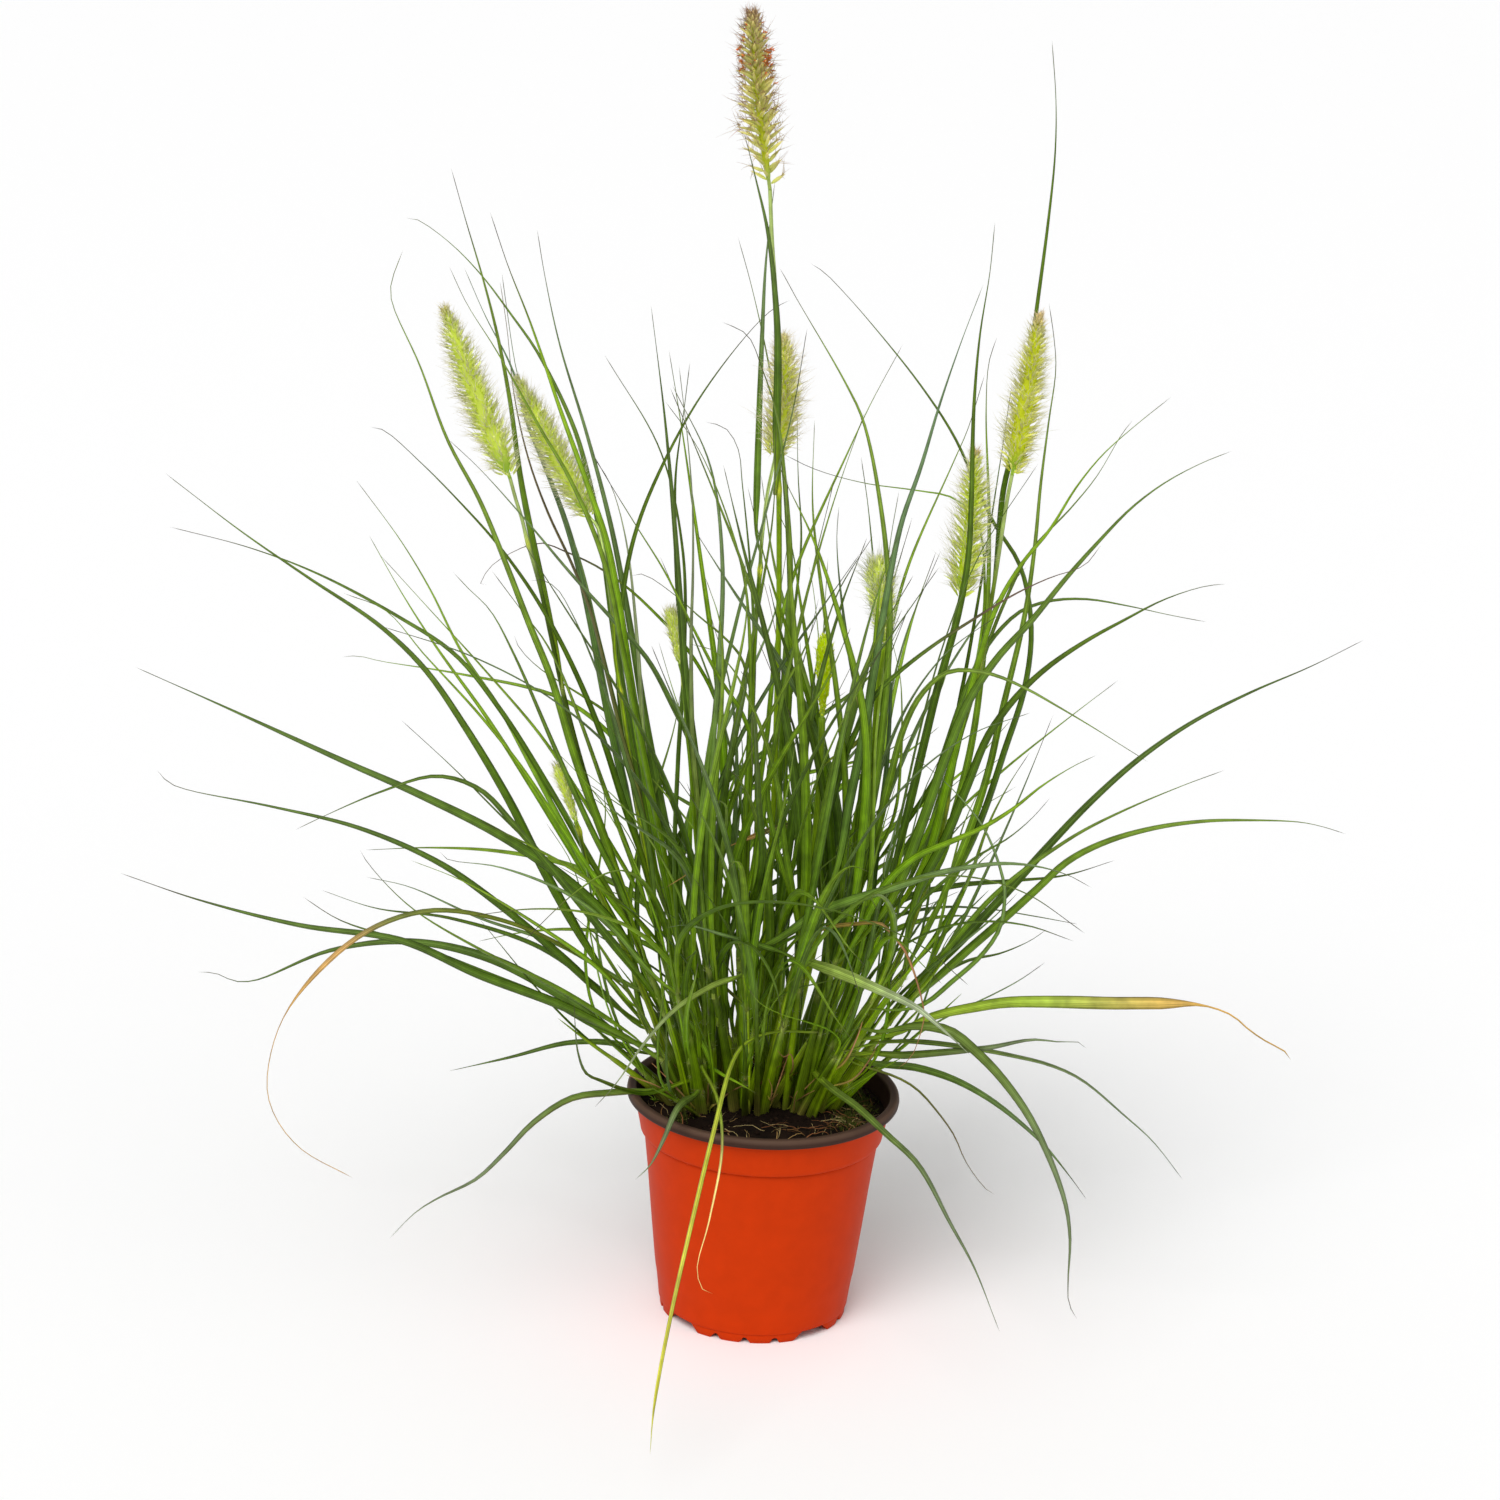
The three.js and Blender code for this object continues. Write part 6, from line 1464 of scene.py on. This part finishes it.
def make_pot(material):
    """The pot, with gaps and notches in its foot ring."""
    turns = np.linspace(0, 2 * math.pi, POT_SIDES, endpoint=False)
    rise = foot_rise(turns)
    rings = []
    tones = []
    for radius, height, tone in pot_rings():
        heights = height
        if height < GAP_HEIGHT and radius < FOOT_RADIUS + 0.1:
            heights = np.minimum(height + rise, FOOT_HEIGHT - 0.45 + 0.1 * height)
        rings.append(ring(radius, heights, turns))
        tones.append(np.broadcast_to(tone, (POT_SIDES, 3)))
    skin = Skin()
    skin.add_rings(np.array(rings), np.array(tones), np.zeros(2))
    skin.make("pot_body", material, "pot", "pot")


def soil_top(x, y):
    """The height of the soil's surface with its lumps, which are lower at the pot's wall."""
    out = math.hypot(x, y)
    edge = 1 - float(smooth_step((out - SOIL_RADIUS + SOIL_MARGIN) / SOIL_MARGIN))
    lumps = noise.fractal(Vector((x * LUMPS_PER_MM, y * LUMPS_PER_MM, 3.1)), 0.7, 2.1, 5)
    return soil_height(out) + LUMP_HEIGHT * lumps * (0.3 + 0.7 * edge)


def make_soil(material):
    """The soil, with a lumpy top under loose crumbs."""
    turns = np.linspace(0, 2 * math.pi, SOIL_SIDES, endpoint=False)
    section = [(1, 8), (54.4, 8), (60.7, 27.4), (71.6, CREASE - 1.5), (74.0, CREASE + 1)]
    rings = [ring(radius, height, turns) for radius, height in section]
    for radius in np.concatenate([np.linspace(SOIL_RADIUS, 8, SOIL_RINGS), [4, 1]]):
        lumpy = ring(radius, 0.0, turns)
        lumpy[:, 2] = [soil_top(x, y) for x, y, _ in lumpy]
        rings.append(lumpy)
    skin = Skin()
    skin.add_rings(np.array(rings), SOIL_BROWN, np.zeros(2))
    add_crumbs(skin, np.random.default_rng(SOIL_SEED))
    skin.make("soil_bed", material, "soil", "soil")


def add_crumbs(skin, rng):
    """Loose crumbs of peat all over the soil, a few of them large."""
    ball, faces = crumb_shape()
    for _ in range(CRUMBS):
        out = CRUMB_REACH * math.sqrt(rng.random())
        turn = rng.uniform(0, 2 * math.pi)
        size = rng.uniform(*CRUMB_SIZES) * (1 + 1.4 * (rng.random() ** 6))
        stretch = rng.uniform(0.6, 1.2, 3) * size
        corners = ball * (1 + rng.normal(0, 0.16, (len(ball), 1))) * stretch
        x, y = out * math.cos(turn), out * math.sin(turn)
        corners = corners + np.array([x, y, soil_top(x, y) + 0.25 * size])
        skin.add_solid(corners, faces, SOIL_BROWN * rng.uniform(0.5, 2.0))


def crumb_shape():
    """The corners and faces of a small round lump."""
    shape = bmesh.new()
    bmesh.ops.create_icosphere(shape, subdivisions=1, radius=1)
    corners = np.array([corner.co[:] for corner in shape.verts])
    faces = np.array([[corner.index for corner in face.verts] for face in shape.faces])
    shape.free()
    return corners, faces


def straw_line(rng):
    """The course of a straw on the soil. Half of them lie on the right, the others anywhere in front."""
    turn = rng.choice([rng.normal(-0.5, 0.35), rng.uniform(-math.pi, 0.4)])
    line = [rng.uniform(*STRAW_PLACES) * outward(turn)[:2]]
    heading = rng.uniform(0, 2 * math.pi)
    bend = rng.uniform(-0.12, 0.12)
    step = rng.uniform(*STRAW_LENGTHS) / STRAW_STEPS
    for _ in range(STRAW_STEPS):
        heading += bend + rng.uniform(-0.1, 0.1)
        line.append(line[-1] + step * outward(heading)[:2])
    return np.array(line)


def make_litter(material):
    """Dry straws and rootlets on the soil. Some of them arch up from it."""
    rng = np.random.default_rng(STRAW_SEED)
    skin = Skin()
    hump = np.sin(np.linspace(0, math.pi, STRAW_STEPS + 1))
    for _ in range(LITTER_STRAWS):
        line = straw_line(rng)
        if np.linalg.norm(line, axis=1).max() > LITTER_REACH:
            continue
        lift = rng.uniform(0.2, 1.0) + rng.uniform(0, 2.2) * hump * (rng.random() < 0.4)
        z = np.array([soil_top(x, y) for x, y in line]) + lift
        radii = rng.uniform(*STRAW_RADII) * np.linspace(1, 0.4, STRAW_STEPS + 1)
        tone = STRAWS[rng.integers(len(STRAWS))] * rng.uniform(0.2, 0.9)
        tones = np.broadcast_to(tone, (STRAW_STEPS + 1, 3))
        add_tube(skin, np.column_stack([line, z]), radii, tones, sides=5, flatten=1.5)
    skin.make("soil_litter", material, "soil")


def make_small_blades(plant, material):
    """Dry and young leaves at places seen in the picture, each rooted on the stem that it seems to leave."""
    rng = np.random.default_rng(SMALL_SEED)
    skin = Skin()
    shares = np.linspace(0.05, 0.9, 18)
    places = [point_on(stem["line"], share) for stem in plant.stems.values() for share in shares]
    for depth, width, route, look in SMALL_BLADES:
        near = sorted(places, key=lambda place: math.dist(pixel_of(place), route[-1]))[:12]
        root = min(near, key=lambda place: place[1])
        points = route_in_space(route, root, depth)
        blade = new_blade(points, width, TO_EYE, rng.uniform(-0.5, 0.5), rng.uniform(-1, 1), look)
        add_blade(skin, blade, STEM_FOOT_RADIUS, rng)
    add_weed(skin, rng)
    skin.make("small_leaves", material, "leaf")


def add_weed(skin, rng):
    """A tiny weed on the soil: a star of short leaves."""
    level = sight_point(*WEED_PIXEL, 0.0)
    reach = (SOIL_CROWN - EYE[2]) / (level[2] - EYE[2])
    foot = EYE + (level - EYE) * reach
    foot[2] = soil_top(*foot[:2]) - 1
    for turn in np.linspace(0, 2 * math.pi, WEED_LEAVES, endpoint=False):
        out = outward(turn)
        length = rng.uniform(*WEED_LENGTHS)
        t = np.linspace(0, 1, 4)[:, None]
        points = foot + (out * t + np.array([0, 0, 1.4]) * (t - 0.5 * t * t)) * length
        facing = np.array([0, 0, 1.0]) + 0.1 * out
        add_blade(skin, new_blade(points, WEED_WIDTH, facing, 0, 0, "bright"), 0.6, rng)


def make_dry_sheaths(plant, material):
    """Old dry sheaths and leaf ends between the feet of the stems."""
    rng = np.random.default_rng(DRY_SEED)
    skin = Skin()
    feet = [stem["line"][0] for stem in plant.stems.values()]
    for _ in range(DRY_SHEATHS):
        foot = feet[rng.integers(len(feet))]
        out = outward(rng.uniform(-math.pi, 0.3))
        base = foot + out * rng.uniform(2, 5)
        base[2] = soil_top(*base[:2]) - 1
        length = rng.uniform(*DRY_LENGTHS)
        lean = out * rng.uniform(0.1, 0.8) + np.array([0, 0, 1])
        t = np.linspace(0, 1, 5)[:, None]
        fall = out * rng.uniform(0, 0.7) * t**2
        curl = rng.normal(0, 0.06, 3) * t**3
        points = base + (unit(lean) * t + fall + curl) * length
        width = rng.uniform(*DRY_WIDTHS)
        blade = new_blade(points, width, out + 0.01, rng.uniform(-1, 1), rng.uniform(-4, 4), "straw")
        add_blade(skin, blade, 1.5, rng)
    skin.make("dry_sheaths", material, "leaf")


def make_moss(material):
    """Low moss on the soil at the right and at the back on the left."""
    rng = np.random.default_rng(MOSS_SEED)
    places = []
    for middle_x, middle_y, wide, count in MOSS_PATCHES:
        spots = rng.normal(0, wide / 2, (count, 2)) * (1, 1.7) + (middle_x, middle_y)
        places.append(spots[np.linalg.norm(spots, axis=1) < LITTER_REACH])
    bases = np.array([(x, y, soil_top(x, y) - 0.2) for x, y in np.vstack(places)])
    aims = unit(rng.normal(0, 0.5, bases.shape) + np.array([0, 0, 1.0]))
    bends = rng.normal(0, 0.3, bases.shape)
    tones = MOSS_GREEN * rng.uniform(0.5, 1.5, (len(bases), 1))
    lengths = rng.uniform(*MOSS_LENGTHS, len(bases))
    skin = Skin()
    add_spikes(skin, bases, aims, bends, lengths, MOSS_RADIUS, tones, tones * 1.5)
    skin.make("moss", material, "leaf")


def node_tree(name):
    """A new material, its nodes, and the one among them that shades the surface."""
    material = bpy.data.materials.new(name)
    material.use_nodes = True
    tree = material.node_tree
    shader = tree.nodes["Principled BSDF"]
    return material, tree, shader


def add_node(tree, kind, settings=None, **links):
    """A node with its settings and with links from other sockets or values for its inputs."""
    node = tree.nodes.new(kind)
    for key, value in (settings or {}).items():
        setattr(node, key, value)
    for key, value in links.items():
        socket = node.inputs[int(key[1:])] if key[1:].isdigit() else node.inputs[key.replace("_", " ")]
        if isinstance(value, bpy.types.NodeSocket):
            tree.links.new(value, socket)
        else:
            socket.default_value = value
    return node


def toned_material(name, roughness, gloss, vein_pitch=1.0, vein_depth=0.0, mottle=0.1, sheer=0.0):
    """A material that takes its colour from the mesh, with fine lengthwise veins and soft mottling."""
    material, tree, shader = node_tree(name)
    tone = add_node(tree, "ShaderNodeVertexColor", {"layer_name": "tone"})
    grain = add_node(tree, "ShaderNodeUVMap", {"uv_map": "grain"})
    split = add_node(tree, "ShaderNodeSeparateXYZ", i0=grain.outputs[0])
    turn = 2 * math.pi / vein_pitch
    wave = add_node(tree, "ShaderNodeMath", {"operation": "MULTIPLY"}, i0=split.outputs[0], i1=turn)
    veins = add_node(tree, "ShaderNodeMath", {"operation": "SINE"}, i0=wave.outputs[0])
    shade = map_range(tree, veins.outputs[0], (-1, 1), (1 - vein_depth, 1 + vein_depth))
    place = add_node(tree, "ShaderNodeTexCoord")
    spots = add_node(tree, "ShaderNodeTexNoise", Vector=place.outputs["Object"], Scale=90.0, Detail=3.0)
    patch = map_range(tree, spots.outputs[0], (0.3, 0.7), (1 - mottle, 1 + mottle))
    both = add_node(tree, "ShaderNodeMath", {"operation": "MULTIPLY"}, i0=shade, i1=patch)
    colour = add_node(tree, "ShaderNodeVectorMath", {"operation": "SCALE"}, i0=tone.outputs["Color"])
    tree.links.new(both.outputs[0], colour.inputs["Scale"])
    tree.links.new(colour.outputs[0], shader.inputs["Base Color"])
    bump = add_node(tree, "ShaderNodeBump", Strength=0.3, Distance=0.0001, Height=veins.outputs[0])
    tree.links.new(bump.outputs[0], shader.inputs["Normal"])
    shader.inputs["Roughness"].default_value = roughness
    shader.inputs["Specular IOR Level"].default_value = gloss
    if sheer:
        through = add_node(tree, "ShaderNodeBsdfTranslucent", Color=colour.outputs[0])
        mix = add_node(tree, "ShaderNodeMixShader", i0=sheer, i1=shader.outputs[0], i2=through.outputs[0])
        tree.links.new(mix.outputs[0], tree.nodes["Material Output"].inputs["Surface"])
    return material


def map_range(tree, value, old, new):
    """A value moved from one range to another."""
    node = add_node(tree, "ShaderNodeMapRange", i0=value, i1=old[0], i2=old[1], i3=new[0], i4=new[1])
    return node.outputs[0]


def make_floor():
    """A plain pale floor that fills the picture."""
    mesh = bpy.data.meshes.new("floor")
    half = FLOOR_HALF
    corners = [(-half, -half, 0), (half, -half, 0), (half, half, 0), (-half, half, 0)]
    mesh.from_pydata(corners, [], [(0, 1, 2, 3)])
    floor = bpy.data.objects.new("floor", mesh)
    bpy.context.scene.collection.objects.link(floor)
    material, _, shader = node_tree("floor")
    shader.inputs["Base Color"].default_value = (0.97, 0.97, 0.97, 1)
    shader.inputs["Roughness"].default_value = 0.9
    mesh.materials.append(material)


def make_light():
    """A softly lit white room, with a wide sun from the upper left and a weaker one from the right."""
    world = bpy.data.worlds.new("room")
    world.use_nodes = True
    background = world.node_tree.nodes["Background"]
    background.inputs["Color"].default_value = (1, 1, 1, 1)
    background.inputs["Strength"].default_value = ROOM_LIGHT
    bpy.context.scene.world = world
    for name, place, width, strength in SUNS:
        lamp = bpy.data.lights.new(name, "SUN")
        lamp.angle = math.radians(width)
        lamp.energy = strength
        sun = bpy.data.objects.new(name, lamp)
        sun.rotation_euler = (-Vector(place)).to_track_quat("-Z", "Y").to_euler()
        bpy.context.scene.collection.objects.link(sun)
    bpy.context.scene.view_settings.view_transform = "Standard"


def make_camera():
    """The camera at the picture's eye."""
    lens = bpy.data.cameras.new("camera")
    lens.sensor_width = SENSOR_WIDTH
    lens.lens = EYE_FOCAL * SENSOR_WIDTH / PICTURE_SIDE
    lens.clip_end = 2 * FLOOR_HALF
    ahead = math.cos(EYE_PITCH)
    forward = Vector((math.sin(EYE_YAW) * ahead, math.cos(EYE_YAW) * ahead, -math.sin(EYE_PITCH)))
    level = Vector((math.cos(EYE_YAW), -math.sin(EYE_YAW), 0))
    rise = level.cross(forward)
    right = level * math.cos(EYE_ROLL) + rise * math.sin(EYE_ROLL)
    up = rise * math.cos(EYE_ROLL) - level * math.sin(EYE_ROLL)
    camera = bpy.data.objects.new("camera", lens)
    turn = Matrix((right, up, -forward)).transposed().to_4x4()
    camera.matrix_world = Matrix.Translation(Vector(EYE * MM)) @ turn
    bpy.context.scene.collection.objects.link(camera)
    bpy.context.scene.camera = camera


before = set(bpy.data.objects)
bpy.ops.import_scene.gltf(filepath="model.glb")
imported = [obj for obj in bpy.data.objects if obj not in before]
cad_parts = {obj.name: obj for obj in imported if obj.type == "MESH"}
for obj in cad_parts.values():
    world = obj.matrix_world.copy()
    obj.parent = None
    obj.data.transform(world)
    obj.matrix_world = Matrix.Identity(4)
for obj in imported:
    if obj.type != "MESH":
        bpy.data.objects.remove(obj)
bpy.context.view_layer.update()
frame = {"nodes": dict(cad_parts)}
make_camera()
make_light()
make_floor()
plant = Plant(frame["nodes"])
leaf = toned_material("leaf", 0.42, 0.22, vein_depth=0.2, mottle=0.25, sheer=0.2)
make_leafy_stems(plant, leaf)
make_small_blades(plant, leaf)
make_dry_sheaths(plant, leaf)
flower = toned_material("flower", 0.6, 0.08, mottle=0.08, sheer=0.5)
for number, culm in enumerate(CULMS):
    make_head(number, culm, flower)
make_pot(toned_material("pot_plastic", 0.45, 0.04, mottle=0.04))
make_soil(toned_material("peat", 0.95, 0.1, mottle=0.5))
make_litter(toned_material("straw", 0.8, 0.1, mottle=0.2))
make_moss(toned_material("moss", 0.9, 0.1, mottle=0.3))
